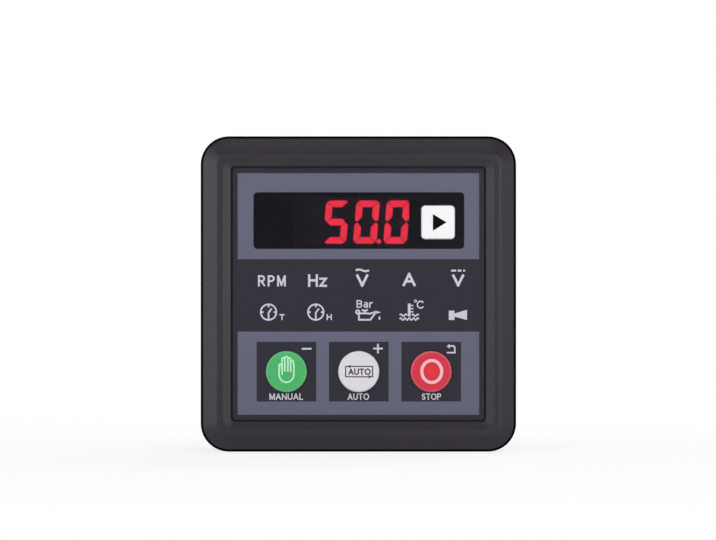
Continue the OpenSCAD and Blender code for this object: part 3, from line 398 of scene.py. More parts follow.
def shared_group(name, builder):
    """A shader group, built the first time that it is asked for."""
    return bpy.data.node_groups.get(name) or builder()


def new_finish(name):
    """An empty material with its shader and output."""
    made = bpy.data.materials.new(name)
    made.use_nodes = True
    return made, made.node_tree, made.node_tree.nodes["Principled BSDF"]


def grouped_finish(name, group, tone, relief, values, **constants):
    """A material whose colour, gloss and relief come from a shared group; relief in millimetres."""
    made, tree, shader = new_finish(name)
    skin = add_node(tree, "ShaderNodeGroup", node_tree=group)
    skin.inputs["Colour"].default_value = tone
    for label, value in values.items():
        skin.inputs[label].default_value = value
    bump = add_node(tree, "ShaderNodeBump")
    bump.inputs["Strength"].default_value = BUMP_STRENGTH
    bump.inputs["Distance"].default_value = relief * MM
    tree.links.new(skin.outputs["Colour"], shader.inputs["Base Color"])
    tree.links.new(skin.outputs["Roughness"], shader.inputs["Roughness"])
    tree.links.new(skin.outputs["Height"], bump.inputs["Height"])
    tree.links.new(bump.outputs["Normal"], shader.inputs["Normal"])
    for label, value in constants.items():
        shader.inputs[label.replace("_", " ")].default_value = value
    return made


def plastic(name, tone, roughness=0.45, drift=0.06, grain=2600.0, relief=0.02, **constants):
    """Moulded plastic or rubber."""
    group = shared_group("Moulded Skin", moulded_skin)
    values = {"Drift": drift, "Grain": grain, "Roughness": roughness}
    return grouped_finish(name, group, tone, relief, values, **constants)


def film(name, tone, roughness=0.5, mottle=0.05, gloss=0.25, relief=0.006):
    """Film or ink."""
    group = shared_group("Printed Film", printed_film)
    values = {"Mottle": mottle, "Roughness": roughness}
    return grouped_finish(name, group, tone, relief, values, Specular_IOR_Level=gloss)


def metal(name, tone, roughness=0.28, relief=0.008):
    """Plated metal."""
    group = shared_group("Plated Metal", plated_metal)
    return grouped_finish(name, group, tone, relief, {"Roughness": roughness}, Metallic=1.0)


def rim_mask(tree, centre, half, corner, blend):
    """1 outside a square with round corners; a corner as wide as half makes it a circle."""
    rim = add_node(tree, "ShaderNodeGroup", node_tree=shared_group("Rounded Rim", rounded_rim))
    for label, value in (("Centre", centre), ("Half", half), ("Corner", corner), ("Blend", blend)):
        rim.inputs[label].default_value = value
    return rim.outputs["Mask"]


def front_mask(tree, depth, blend):
    """1 in front of a depth and 0 behind it."""
    return ranged(tree, along_depth(tree, "Object"), low=0.0, high=1.0, start=depth, stop=depth - blend)


def blend_base(material, mask, tone, share=1.0):
    """Mixes a share of a colour into a finish where a mask is 1."""
    tree = material.node_tree
    base = tree.nodes["Principled BSDF"].inputs["Base Color"]
    factor = ranged(tree, mask, low=0.0, high=share)
    tree.links.new(mixed(tree, factor, base.links[0].from_socket, tone), base)


def paint_edge_shade(bezel, tone, sizes):
    """Paints shade on the bezel: its rounded outer edge dark and dull, and the gap round the overlay partly
    so.
    """
    tree = bezel.node_tree
    blend = sizes.edge_blend
    half = CAD_BOX[1][0] - sizes.flange_edge
    outside = rim_mask(tree, (0, 0, 0), half, sizes.flange_corner - sizes.flange_edge, blend)
    ahead = front_mask(tree, CAD_BOX[0][1] + sizes.flange_depth, blend)
    low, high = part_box("front_overlay")
    recess_half = (high.x - low.x) / 2 + sizes.recess_gap
    past_recess = rim_mask(tree, (low + high) / 2, recess_half, sizes.recess_corner, blend)
    inside = mathed(tree, "SUBTRACT", 1.0, past_recess)
    gap = mathed(tree, "MULTIPLY", inside, front_mask(tree, high.y + blend, blend))
    edge = mathed(tree, "MULTIPLY", outside, ahead)
    # Painted shade: near black on the outer edge, and a share of it in the gap round the overlay
    dark = mathed(tree, "MAXIMUM", edge, ranged(tree, gap, low=0.0, high=GAP_SHADE_SHARE))
    blend_base(bezel, dark, tone)
    coat = tree.nodes["Principled BSDF"].inputs["Coat Weight"]
    tree.links.new(mathed(tree, "SUBTRACT", 1.0, dark), coat)


def paint_rim_highlight(cap, node, tone, sizes):
    """Paints a highlight on the edge of a round key, making it paler where its rounded edge catches the
    light.
    """
    low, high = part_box(node)
    radius = sizes.cap_diameter / 2 - sizes.cap_rim_highlight
    mask = rim_mask(cap.node_tree, (low + high) / 2, radius, radius, sizes.cap_rim_highlight)
    blend_base(cap, mask, tone, RIM_HIGHLIGHT_SHARE)


def vivid_middle(cap, node, tone, sizes):
    """Makes the middle of a round key more vivid, mixing a more vivid colour into it."""
    low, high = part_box(node)
    core = sizes.cap_core
    outside = rim_mask(cap.node_tree, (low + high) / 2, core, core, core)
    blend_base(cap, mathed(cap.node_tree, "SUBTRACT", 1.0, outside), tone)


def dress(material, *nodes):
    """Gives CAD nodes a finish."""
    for name in nodes:
        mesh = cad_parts[name].data
        mesh.materials.clear()
        mesh.materials.append(material)


def smoked_window(tone, sheen):
    """Tinted clear plastic, with faint handling marks in its gloss."""
    made, tree, shader = new_finish("Smoked window")
    shader.inputs["Base Color"].default_value = tone
    shader.inputs["Transmission Weight"].default_value = 1.0
    shader.inputs["IOR"].default_value = WINDOW_IOR
    shader.inputs["Specular Tint"].default_value = sheen
    marks = noise(tree, scale=90.0, detail=4.0)
    tree.links.new(ranged(tree, marks, low=0.2, high=0.28), shader.inputs["Roughness"])
    return made


def glowing_segment(tone):
    """Cast light bar, brighter where its lamp sits behind it."""
    made, tree, shader = new_finish("Glowing segment")
    shader.inputs["Base Color"].default_value = SEGMENT_CASTING
    shader.inputs["Roughness"].default_value = 0.4
    shader.inputs["Emission Strength"].default_value = GLOW_STRENGTH
    source = add_node(tree, "ShaderNodeRGB")
    source.outputs[0].default_value = tone
    light = ranged(tree, noise(tree, scale=420.0, detail=1.0), low=0.8, high=1.2)
    tree.links.new(shaded(tree, source.outputs[0], light), shader.inputs["Emission Color"])
    return made


def tinted(tone, red, green, blue):
    """A colour with each channel made lighter or darker by a factor."""
    return (tone[0] * red, tone[1] * green, tone[2] * blue, 1.0)


def circuit_board(tone):
    """Solder mask with copper tracks showing through as a paler weave of lines."""
    made, tree, shader = new_finish("Circuit board")
    place = add_node(tree, "ShaderNodeTexCoord")
    turn = add_node(tree, "ShaderNodeMapping")
    turn.inputs["Rotation"].default_value = (math.pi / 2, 0, 0)
    tracks = add_node(tree, "ShaderNodeTexBrick")
    settings = {
        "Scale": 190.0,
        "Mortar Size": 0.06,
        "Color1": tone,
        "Color2": tinted(tone, 0.8, 0.85, 0.8),
        "Mortar": tinted(tone, 1.6, 1.5, 1.3),
    }
    for label, value in settings.items():
        tracks.inputs[label].default_value = value
    tree.links.new(place.outputs["Object"], turn.inputs["Vector"])
    tree.links.new(turn.outputs["Vector"], tracks.inputs["Vector"])
    tree.links.new(tracks.outputs["Color"], shader.inputs["Base Color"])
    tree.links.new(ranged(tree, noise(tree, scale=300.0), low=0.25, high=0.45), shader.inputs["Roughness"])
    return made


def arc(x, z, radius, first, last, tall=None, steps=8):
    """Points along an arc; angles in degrees, from the x axis towards z."""
    rise = radius if tall is None else tall
    turns = [math.radians(first + (last - first) * step / steps) for step in range(steps + 1)]
    return [(x + radius * math.cos(a), z + rise * math.sin(a)) for a in turns]


def oval(x, z, radius, tall=None, steps=24):
    """Points round an ellipse, with the first one repeated at the end."""
    return arc(x, z, radius, 0, 360, tall, steps)


def ripple(first, last, z, height, waves, steps=8):
    """Points along a wave."""
    count = round(waves * steps)
    share = [step / count for step in range(count + 1)]
    return [(first + (last - first) * s, z + height * math.sin(2 * math.pi * waves * s)) for s in share]


# Centre lines of the letters and figures as (width, paths), for capitals of height 1
GLYPHS = {
    "A": (0.72, [[(0, 0), (0.36, 0.97)], [(0.72, 0), (0.36, 0.97)], [(0.2, 0.32), (0.52, 0.32)]]),
    "B": (0.58, [
        [(0, 0), (0, 1)],
        [(0, 1), *arc(0.32, 0.76, 0.24, 90, -90), (0, 0.52)],
        [(0.3, 0.52), *arc(0.32, 0.26, 0.26, 90, -90), (0, 0)],
    ]),
    "C": (0.7, [arc(0.4, 0.5, 0.4, 42, 318, 0.5, 12)]),
    "H": (0.62, [[(0, 0), (0, 1)], [(0.62, 0), (0.62, 1)], [(0, 0.52), (0.62, 0.52)]]),
    "L": (0.46, [[(0, 1), (0, 0), (0.46, 0)]]),
    "M": (0.74, [
        [(0, 0), (0, 1)],
        [(0.74, 0), (0.74, 1)],
        [(0.06, 0.92), (0.37, 0.06)],
        [(0.68, 0.92), (0.37, 0.06)],
    ]),
    "N": (0.66, [[(0, 0), (0, 1)], [(0.66, 0), (0.66, 1)], [(0.06, 0.93), (0.6, 0.07)]]),
    "O": (0.84, [oval(0.42, 0.5, 0.42, 0.5)]),
    "P": (0.56, [[(0, 0), (0, 1)], [(0, 1), *arc(0.3, 0.74, 0.26, 90, -90), (0, 0.48)]]),
    "R": (0.6, [
        [(0, 0), (0, 1)],
        [(0, 1), *arc(0.31, 0.74, 0.26, 90, -90), (0, 0.48)],
        [(0.32, 0.4), (0.58, 0.02)],
    ]),
    "S": (0.54, [[*arc(0.27, 0.75, 0.25, 30, 270), *arc(0.27, 0.25, 0.25, 90, -150)[1:]]]),
    "T": (0.6, [[(0, 1), (0.6, 1)], [(0.3, 1), (0.3, 0)]]),
    "U": (0.62, [[(0, 1), *arc(0.31, 0.31, 0.31, 180, 360), (0.62, 1)]]),
    "V": (0.68, [[(0, 1), (0.34, 0.03)], [(0.68, 1), (0.34, 0.03)]]),
    "a": (0.44, [[*arc(0.22, 0.48, 0.22, 120, 0), (0.44, 0)], oval(0.22, 0.2, 0.22, 0.2, 12)]),
    "r": (0.3, [[(0, 0), (0, 0.7)], [(0, 0.42), (0.1, 0.62), (0.3, 0.7)]]),
    "z": (0.44, [[(0, 0.68), (0.44, 0.68), (0, 0), (0.44, 0)]]),
    "0": (0.56, [oval(0.28, 0.5, 0.28, 0.5)]),
    "1": (0.24, [[(0, 0.76), (0.24, 1), (0.24, 0)]]),
    "2": (0.54, [[*arc(0.27, 0.73, 0.27, 165, -30), (0, 0), (0.54, 0)]]),
    "3": (0.52, [[*arc(0.25, 0.76, 0.24, 150, -90), *arc(0.25, 0.26, 0.27, 90, -150, 0.26)[1:]]]),
    "4": (0.58, [[(0.44, 0), (0.44, 1), (0, 0.3)], [(0, 0.3), (0.58, 0.3)]]),
    "5": (0.52, [[(0.48, 1), (0.06, 1), (0.02, 0.52), *arc(0.24, 0.31, 0.28, 110, -150, 0.31)]]),
    "6": (0.54, [oval(0.27, 0.3, 0.27, 0.3), [(0, 0.3), (0.06, 0.62), (0.22, 0.88), (0.44, 1)]]),
    "7": (0.5, [[(0, 1), (0.5, 1), (0.16, 0)]]),
    "8": (0.52, [oval(0.26, 0.76, 0.23, 0.24), oval(0.26, 0.26, 0.26, 0.26)]),
    "9": (0.54, [oval(0.27, 0.7, 0.27, 0.3), [(0.54, 0.7), (0.48, 0.38), (0.32, 0.12), (0.1, 0)]]),
}

# Gaps between letters in most words and in the speed sign, in the table's units
LETTER_GAP = 0.3
SPEED_GAP = 0.45

# Height from one line to the next and from lines to patches, and distance at which two points are one
STROKE_STEP = 0.0005 * MM
PATCH_STEP = 0.008 * MM
TOUCH = 1e-7

# Least cosine of a mitre's half angle, which keeps sharp corners short
MITRE_LIMIT = 0.5

# Roughness of the inks, gloss of the black one, and lines of lone letters and of the speed sign,
# as shares of the bold line
INK_ROUGHNESS = 0.45
BLACK_GLOSS = 0.05
LONE_LETTER = 1.1
SPEED_WORD = 0.8

# Terminals in a row
POLES = 10


def standing(face_y, x=0.0, z=0.0):
    """Stands a flat drawing up on a face that looks towards the viewer."""
    return Matrix.Translation((x * MM, face_y, z * MM)) @ Matrix.Rotation(math.pi / 2, 4, "X")


def join(target, source, place):
    """Moves one bmesh into place and adds it to another."""
    bmesh.ops.transform(source, matrix=place, verts=source.verts)
    mesh = bpy.data.meshes.new("part")
    source.to_mesh(mesh)
    source.free()
    target.from_mesh(mesh)
    bpy.data.meshes.remove(mesh)


def raise_faces(drawing, faces, depth):
    """Gives flat faces a depth."""
    lifted = bmesh.ops.extrude_face_region(drawing, geom=faces)["geom"]
    tops = [item for item in lifted if isinstance(item, bmesh.types.BMVert)]
    bmesh.ops.translate(drawing, vec=(0, 0, depth), verts=tops)


def edge_offsets(points, closed, half):
    """Steps from the points of a path to the left edge of a line, with mitred corners."""
    last = len(points) - 1
    steps = []
    for place, point in enumerate(points):
        before = points[place - 1] if place or closed else point
        after = points[(place + 1) % len(points)] if place < last or closed else point
        sides = [(b - a).normalized() for a, b in ((before, point), (point, after)) if (b - a).length > 0]
        normals = [Vector((-side.y, side.x)) for side in sides]
        mitre = sum(normals, Vector((0, 0))).normalized()
        steps.append(mitre * half / max(mitre.dot(normals[0]), MITRE_LIMIT))
    return steps


def lines(paths, width, depth, cap=0.0):
    """Flat lines along paths in millimetres, each a hair above the one before, so that none merge.

    A path that ends where it starts is closed. Open ends are longer by the cap.
    """
    drawing = bmesh.new()
    for layer, path in enumerate(paths):
        points = [Vector(point) * MM for point in path]
        closed = (points[0] - points[-1]).length < TOUCH
        if closed:
            points.pop()
        else:
            points[0] += (points[0] - points[1]).normalized() * cap
            points[-1] += (points[-1] - points[-2]).normalized() * cap
        steps = edge_offsets(points, closed, width / 2)
        rails = [
            [drawing.verts.new((*(point + side * step), 0)) for point, step in zip(points, steps)]
            for side in (1, -1)
        ]
        if closed:
            for rail in rails:
                rail.append(rail[0])
        quads = zip(rails[0], rails[1], rails[1][1:], rails[0][1:])
        faces = [drawing.faces.new(corners) for corners in quads]
        raise_faces(drawing, faces, depth + layer * STROKE_STEP)
    bmesh.ops.recalc_face_normals(drawing, faces=drawing.faces)
    return drawing


def words(text, box, depth, width, gap=LETTER_GAP):
    """Lettering drawn with lines of one width, that fills a box of (left, bottom, right, top)."""
    left, bottom, right, top = box
    inset = width / MM / 2
    natural = sum(GLYPHS[letter][0] for letter in text) + gap * (len(text) - 1)
    wide = (right - left - 2 * inset) / natural
    tall = top - bottom - 2 * inset
    paths = []
    start = left + inset
    for letter in text:
        advance, strokes = GLYPHS[letter]
        for stroke in strokes:
            paths.append([(start + x * wide, bottom + inset + z * tall) for x, z in stroke])
        start += (advance + gap) * wide
    return lines(paths, width, depth, cap=width / 2)


def patch(points, depth):
    """Flat filled shape with an outline in millimetres, just above the lines that it touches."""
    drawing = bmesh.new()
    face = drawing.faces.new([drawing.verts.new((x * MM, z * MM, 0)) for x, z in points])
    raise_faces(drawing, [face], depth + PATCH_STEP)
    bmesh.ops.recalc_face_normals(drawing, faces=drawing.faces)
    return drawing


def box_points(left, bottom, right, top):
    """Corners of a rectangle, with the first one repeated at the end."""
    return [(left, bottom), (right, bottom), (right, top), (left, top), (left, bottom)]


def add_mesh(name, drawing, material):
    """Makes a bmesh an object in the scene."""
    mesh = bpy.data.meshes.new(name)
    drawing.to_mesh(mesh)
    drawing.free()
    mesh.materials.append(material)
    made = bpy.data.objects.new(name, mesh)
    bpy.context.scene.collection.objects.link(made)
    return made


def add_piece(name, drawing, material, body):
    """Makes a bmesh a piece that rides on a body."""
    made = add_mesh(name, drawing, material)
    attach(made, body)
    return made


def print_sign(name, drawings, face_y, centre, material, body="housing"):
    """Prints drawings on a face, round a centre in millimetres, as one piece."""
    sizes = bpy.context.scene.genset_sizes
    sheet = bmesh.new()
    for drawing in drawings:
        join(sheet, drawing, standing(face_y + sizes.ink_sink, *centre))
    return add_piece(name, sheet, material, body)


def ink_depth():
    """Depth of a printed sign, from inside the film to its face."""
    sizes = bpy.context.scene.genset_sizes
    return sizes.ink_height + sizes.ink_sink


def sign_ink():
    """The pale ink, made once."""
    tone = bpy.context.scene.genset_colours.ink
    return bpy.data.materials.get("Pale ink") or film("Pale ink", tone, INK_ROUGHNESS)


def sign_cell(column, row):
    """Centre of a sign's cell; columns from -2 to 2, rows 1 above and -1 below."""
    sizes = bpy.context.scene.genset_sizes
    x, z = middle("light_baffle")
    return (x + column * sizes.sign_pitch / MM, z + row * sizes.sign_rows / MM / 2)


class GENSET_OT_dress_housing(bpy.types.Operator):
    """Give the bezel, rear case, clamps and gasket their moulded finish, with painted shade on the bezel's
    edges
    """

    bl_idname = "genset.dress_housing"
    bl_label = "Dress Housing"

    def execute(self, context):
        tones = context.scene.genset_colours
        sizes = context.scene.genset_sizes
        gloss = {"Specular_IOR_Level": 0.0, "Coat_Roughness": 0.36, "Coat_IOR": 1.38}
        bezel = plastic("Bezel plastic", tones.bezel, relief=0.015, **gloss)
        # Paints shade on the bezel's outer edge and in the gap round the overlay
        paint_edge_shade(bezel, tones.edge, sizes)
        dress(bezel, "front_bezel")
        shell = plastic("Rear shell plastic", tones.case, roughness=0.55, grain=1500.0, relief=0.05)
        dress(shell, "rear_case")
        clamp = plastic("Clamp plastic", tones.case, roughness=0.5, grain=2000.0, relief=0.03)
        dress(clamp, "left_clamp", "right_clamp")
        rubber = plastic("Gasket rubber", tones.rubber, roughness=0.8, grain=1200.0, relief=0.08)
        dress(rubber, "panel_gasket")
        return {"FINISHED"}


class GENSET_OT_dress_front(bpy.types.Operator):
    """Give the overlay film, its printed fields and the display window their finish"""

    bl_idname = "genset.dress_front"
    bl_label = "Dress Front"

    def execute(self, context):
        tones = context.scene.genset_colours
        dress(film("Overlay film", tones.film), "front_overlay")
        dress(film("Slate print", tones.slate), "printed_fields")
        dress(smoked_window(tones.window, tones.sheen), "display_window")
        return {"FINISHED"}


class GENSET_OT_dress_keys(bpy.types.Operator):
    """Give the key caps, plungers and switches their finish, with a painted highlight on the round keys' rims
    """

    bl_idname = "genset.dress_keys"
    bl_label = "Dress Keys"

    def execute(self, context):
        tones = context.scene.genset_colours
        sizes = context.scene.genset_sizes
        moulding = {"roughness": 0.42, "grain": 1800.0, "relief": 0.012}
        caps = {"manual_key": tones.green, "auto_key": tones.pale, "stop_key": tones.red}
        for node, tone in caps.items():
            cap = plastic(node.replace("_", " ").capitalize(), tone, drift=0.04, **moulding)
            # Painted highlight on the cap's rim
            paint_rim_highlight(cap, node, tones.rim, sizes)
            dress(cap, node)
        vivid_middle(bpy.data.materials["Stop key"], "stop_key", tones.vivid, sizes)
        dress(plastic("Page key", tones.page, drift=0.03, **moulding), "page_key")
        dress(
            plastic("Switch plastic", tones.switch, roughness=0.5),
            "key_switches", "manual_plunger", "auto_plunger", "stop_plunger", "page_plunger",
        )
        return {"FINISHED"}


class GENSET_OT_dress_display(bpy.types.Operator):
    """Give the digit module, its segments, the light baffle and the lamps their finish"""

    bl_idname = "genset.dress_display"
    bl_label = "Dress Display"

    def execute(self, context):
        tones = context.scene.genset_colours
        dress(plastic("Digit face", tones.digit_face, roughness=0.6), "digit_module")
        dress(glowing_segment(tones.glow), "lit_segments")
        dress(plastic("Dark segment", tones.dark_segment, roughness=0.5), "dark_segments")
        dress(plastic("Baffle plastic", tones.baffle, roughness=0.55), "light_baffle")
        dress(plastic("Lamp epoxy", tones.lamp, roughness=0.2, drift=0.05, grain=900.0), "indicator_lamps")
        return {"FINISHED"}


class GENSET_OT_dress_boards(bpy.types.Operator):
    """Give the boards and the parts on them their finish"""

    bl_idname = "genset.dress_boards"
    bl_label = "Dress Boards"

    def execute(self, context):
        tones = context.scene.genset_colours
        dress(circuit_board(tones.board), "front_board", "power_board")
        dress(
            plastic("Chip plastic", tones.chip, roughness=0.5),
            "controller_chip", "display_driver", "link_base", "link_socket",
        )
        brass = metal("Brass contact", tones.brass)
        dress(brass, "link_pins", "board_spacers", "upper_pins", "lower_pins")
        dress(plastic("Relay plastic", tones.relay, roughness=0.35), "relays")
        dress(plastic("Capacitor sleeve", tones.sleeve, roughness=0.3), "capacitors")
        ferrite = plastic("Choke ferrite", tones.ferrite, roughness=0.7, drift=0.15, grain=900.0, relief=0.06)
        dress(ferrite, "supply_choke")
        return {"FINISHED"}


class GENSET_OT_dress_terminals(bpy.types.Operator):
    """Give the terminal sockets, plugs, wire clamps and screws their finish"""

    bl_idname = "genset.dress_terminals"
    bl_label = "Dress Terminals"

    def execute(self, context):
        tones = context.scene.genset_colours
        dress(
            plastic("Terminal plastic", tones.terminal, roughness=0.4, drift=0.05, grain=1600.0),
            "upper_socket", "lower_socket", "upper_plug", "lower_plug",
        )
        dress(
            metal("Plated steel", tones.steel, roughness=0.3),
            "upper_wire_clamps", "lower_wire_clamps", "upper_terminal_screws", "lower_terminal_screws",
            "left_clamp_screw", "right_clamp_screw", "board_screws",
        )
        return {"FINISHED"}


class GENSET_OT_print_unit_signs(bpy.types.Operator):
    """Print the upper row of signs: speed, frequency, voltage, current and battery voltage"""

    bl_idname = "genset.print_unit_signs"
    bl_label = "Print Unit Signs"

    def execute(self, context):
        sizes = context.scene.genset_sizes
        bold = sizes.bold_line
        deep = ink_depth()
        wave = lines([ripple(-1.9, 1.36, 1.74, 0.2, 1.0, 12)], sizes.wave_line, deep)
        dashes = [(-1.12, 0.1), (0.5, 1.42), (1.84, 2.3)]
        direct = [patch(box_points(left, 1.44, right, 1.92)[1:], deep) for left, right in dashes]
        signs = [
            ("sign_speed", [words("RPM", (-3.28, -2.24, 3.6, 0.54), deep, SPEED_WORD * bold, SPEED_GAP)]),
            ("sign_frequency", [words("Hz", (-2.3, -2.34, 2.4, 0.78), deep, bold)]),
            ("sign_voltage", [words("V", (-1.82, -2.34, 1.2, 0.76), deep, LONE_LETTER * bold), wave]),
            ("sign_current", [words("A", (-1.72, -2.16, 1.5, 1.2), deep, LONE_LETTER * bold)]),
            ("sign_battery", [words("V", (-0.88, -2.3, 2.1, 0.74), deep, LONE_LETTER * bold), *direct]),
        ]
        for column, (name, drawings) in enumerate(signs, -2):
            print_sign(name, drawings, FILM_FACE, sign_cell(column, 1), sign_ink())
        return {"FINISHED"}


def hour_meter(letter, middle_x, line, thin, deep):
    """Clock face with three ticks and a bent hand, and a letter beside it."""
    middle_z = -0.38
    strokes = [
        oval(0, 0, 1.93),
        [(0, 1.9), (0, 1.22)],
        [(-1.9, 0), (-1.25, 0)],
        [(1.9, 0), (1.25, 0)],
        [(0, -1.9), (0, -0.15), (0.76, 0.88)],
    ]
    paths = [[(x + middle_x, z + middle_z) for x, z in stroke] for stroke in strokes]
    box = (2.68 + middle_x, -2.36, 3.96 + middle_x, -0.88)
    return [lines(paths, line, deep), words(letter, box, deep, thin)]


def oil_can(line, thin, deep):
    """Oil can with handle, knob and spout, a drop at its tip and the unit above it."""
    pot = [(-1.15, -0.7), (-1.1, -2.27), (1.7, -2.27)]
    spout = [(2.95, -0.6), (3.9, -0.44), (3.13, -0.29), (1.45, -0.82), (1.2, -0.7)]
    knob = [(-0.45, 0.14), (0.3, -0.02), (1.08, 0.14)]
    stem = [(0.3, -0.02), (0.3, -0.7)]
    handle = oval(-1.4, -0.35, 0.42, steps=12)
    drop = [*arc(3.94, -1.95, 0.29, -220, 40), (3.94, -1.22)]
    return [
        lines([[*pot, *spout, pot[0]], knob, stem, handle], 1.1 * line, deep),
        patch(drop, deep),
        words("Bar", (-1.72, 0.7, 2.3, 2.6), deep, thin),
    ]


def coolant_gauge(line, thin, deep):
    """Thermometer that stands in two waves, with the unit beside it."""
    stem = [(-0.1, 1.74), (-0.1, -1.45)]
    marks = [[(-0.1, z), (0.95, z)] for z in (1.25, 0.48, -0.3)]
    upper = [ripple(-2.45, -0.6, -1.13, 0.24, 1.5), ripple(0.52, 2.3, -1.15, 0.24, 1.5)]
    lower = ripple(-2.45, 2.3, -2.1, 0.26, 4.5)
    return [
        lines([stem], 1.65 * line, deep),
        lines(marks, thin, deep + PATCH_STEP),
        lines([*upper, lower], 0.85 * line, deep + 2 * PATCH_STEP),
        lines([oval(1.45, 2.36, 0.27, steps=12)], 0.7 * thin, deep),
        words("C", (1.74, 0.45, 3.46, 2.48), deep, 1.1 * thin),
    ]


def horn(deep):
    """Horn with its mouth to the right."""
    driver = box_points(-1.7, -2.33, -0.3, -0.03)[1:]
    cone = [(-0.3, -1.5), (2.8, -2.33), (2.8, 0.2), (-0.3, -0.73)]
    return [patch(driver, deep), patch(cone, deep)]


class GENSET_OT_print_meter_signs(bpy.types.Operator):
    """Print the lower row of signs: two hour meters, oil pressure, coolant and horn"""

    bl_idname = "genset.print_meter_signs"
    bl_label = "Print Meter Signs"

    def execute(self, context):
        sizes = context.scene.genset_sizes
        pen = (sizes.sign_line, sizes.thin_line, ink_depth())
        signs = [
            ("sign_total_hours", hour_meter("T", -0.66, *pen)),
            ("sign_run_hours", hour_meter("H", -0.38, *pen)),
            ("sign_oil_pressure", oil_can(*pen)),
            ("sign_coolant", coolant_gauge(*pen)),
            ("sign_alarm", horn(ink_depth())),
        ]
        for column, (name, drawings) in enumerate(signs, -2):
            print_sign(name, drawings, FILM_FACE, sign_cell(column, -1), sign_ink())
        return {"FINISHED"}


class GENSET_OT_print_key_words(bpy.types.Operator):
    """Print the word below each key and the small sign above it"""

    bl_idname = "genset.print_key_words"
    bl_label = "Print Key Words"

    def execute(self, context):
        deep = ink_depth()
        sizes = context.scene.genset_sizes
        line = sizes.corner_line
        minus = [lines([[(3.8, 5.66), (6.2, 5.66)]], line, deep)]
        plus = [lines([[(3.55, 5.71), (5.92, 5.71)], [(4.72, 4.52), (4.72, 6.9)]], line, deep)]
        hook = [(4.38, 6.32), (5.5, 6.36), (5.8, 6.1), (5.84, 4.7), (3.85, 4.7)]
        arrow = [(3.82, 6.28), (4.58, 5.7), (4.58, 6.86)]
        back = [lines([hook], sizes.hook_line, deep), patch(arrow, deep)]
        captions = [
            ("manual_key", "MANUAL", (-4.2, -6.98, 4.15, -5.36), "sign_minus", minus),
            ("auto_key", "AUTO", (-2.76, -6.98, 2.55, -5.36), "sign_plus", plus),
            ("stop_key", "STOP", (-2.36, -6.98, 2.45, -5.36), "sign_back", back),
        ]
        for key, word, box, sign, drawings in captions:
            name = "word_" + word.lower()
            drawing = words(word, box, deep, sizes.word_line)
            print_sign(name, [drawing], FILM_FACE, middle(key), sign_ink())
            print_sign(sign, drawings, FILM_FACE, middle(key), sign_ink())
        return {"FINISHED"}


def open_hand(width, deep):
    """Raised hand: the tips of four fingers, the gaps between them, and the palm with the thumb."""
    tips = [arc(-0.72, 3.1, 0.34, 180, 0), arc(-0.01, 3.38, 0.38, 180, 0), arc(0.71, 3.12, 0.34, 180, 0)]
    gaps = [[(-0.39, 3.3), (-0.39, 0)], [(0.37, 3.3), (0.37, 0)], [(1.05, 3.1), (1.05, -0.14)]]
    index = [(-1.06, 3.1), (-1.05, -0.75)]
    palm = [
        *arc(1.39, 2.45, 0.34, 180, 0), (1.88, 1.2), *arc(0.03, -0.7, 1.82, 0, -180, 1.93),
        *arc(-1.5, 1.6, 0.29, 180, 20), (-1.13, 0.6),
    ]
    return [lines([*tips, *gaps, index, palm], width, deep)]


def auto_loop(width, letters, deep):
    """Word in a rectangular loop with two arrow heads."""
    loop = box_points(-3.25, -1.25, 3.41, 1.32)
    heads = [[(-2.85, 1.32), (-2.05, 0.84), (-2.05, 1.8)], [(3.2, -1.25), (2.4, -1.73), (2.4, -0.77)]]
    return [
        lines([loop], width, deep),
        *[patch(head, deep) for head in heads],
        words("AUTO", (-2.6, -0.8, 2.95, 0.8), deep, letters),
    ]


class GENSET_OT_mark_keys(bpy.types.Operator):
    """Print the mark on each key cap: hand, loop, ring and arrow"""

    bl_idname = "genset.mark_keys"
    bl_label = "Mark Keys"

    def execute(self, context):
        sizes = context.scene.genset_sizes
        tones = context.scene.genset_colours
        deep = ink_depth()
        green = film("Hand ink", tones.hand, INK_ROUGHNESS)
        dark = film("Dark ink", tones.dark_ink, INK_ROUGHNESS)
        pink = film("Ring ink", tones.ring, INK_ROUGHNESS)
        black = film("Black ink", tones.arrow_ink, INK_ROUGHNESS, gloss=BLACK_GLOSS)
        hand = open_hand(sizes.hand_line, deep)
        loop = auto_loop(sizes.loop_line, sizes.loop_letters, deep)
        ring = lines([oval(0.12, 0.06, 2.46, 2.71, 48)], sizes.ring_line, deep)
        arrow = patch([(-1.3, -2.07), (2.1, 0), (-1.3, 2.07)], deep)
        marks = [
            ("mark_hand", "manual", hand, KEY_FACE, green),
            ("mark_loop", "auto", loop, KEY_FACE, dark),
            ("mark_ring", "stop", [ring], KEY_FACE, pink),
            ("mark_arrow", "page", [arrow], PAGE_FACE, black),
        ]
        for name, key, drawings, face_y, ink in marks:
            print_sign(name, drawings, face_y, middle(key + "_key"), ink, key + "_button")
        return {"FINISHED"}


# Where the thread's root starts and ends in a pitch, steps in a turn, teeth past the shank's end,
# distance that welds two turns, and least step from the shank to the head
ROOT_START = 0.44
ROOT_END = 0.56
TURN_STEPS = 24
SPARE_TEETH = 3
THREAD_WELD = 2e-6
HEAD_STEP = 0.5 * MM


def cut_plane(solid, centre, height, keep_above):
    """Cuts a solid across at a height and closes the cut."""
    cut = bmesh.ops.bisect_plane(
        solid, geom=solid.verts[:] + solid.edges[:] + solid.faces[:], dist=TOUCH,
        plane_co=(centre.x, height, centre.z), plane_no=(0, 1, 0),
        clear_inner=keep_above, clear_outer=not keep_above,
    )
    rim = [item for item in cut["geom_cut"] if isinstance(item, bmesh.types.BMEdge)]
    bmesh.ops.holes_fill(solid, edges=rim, sides=0)


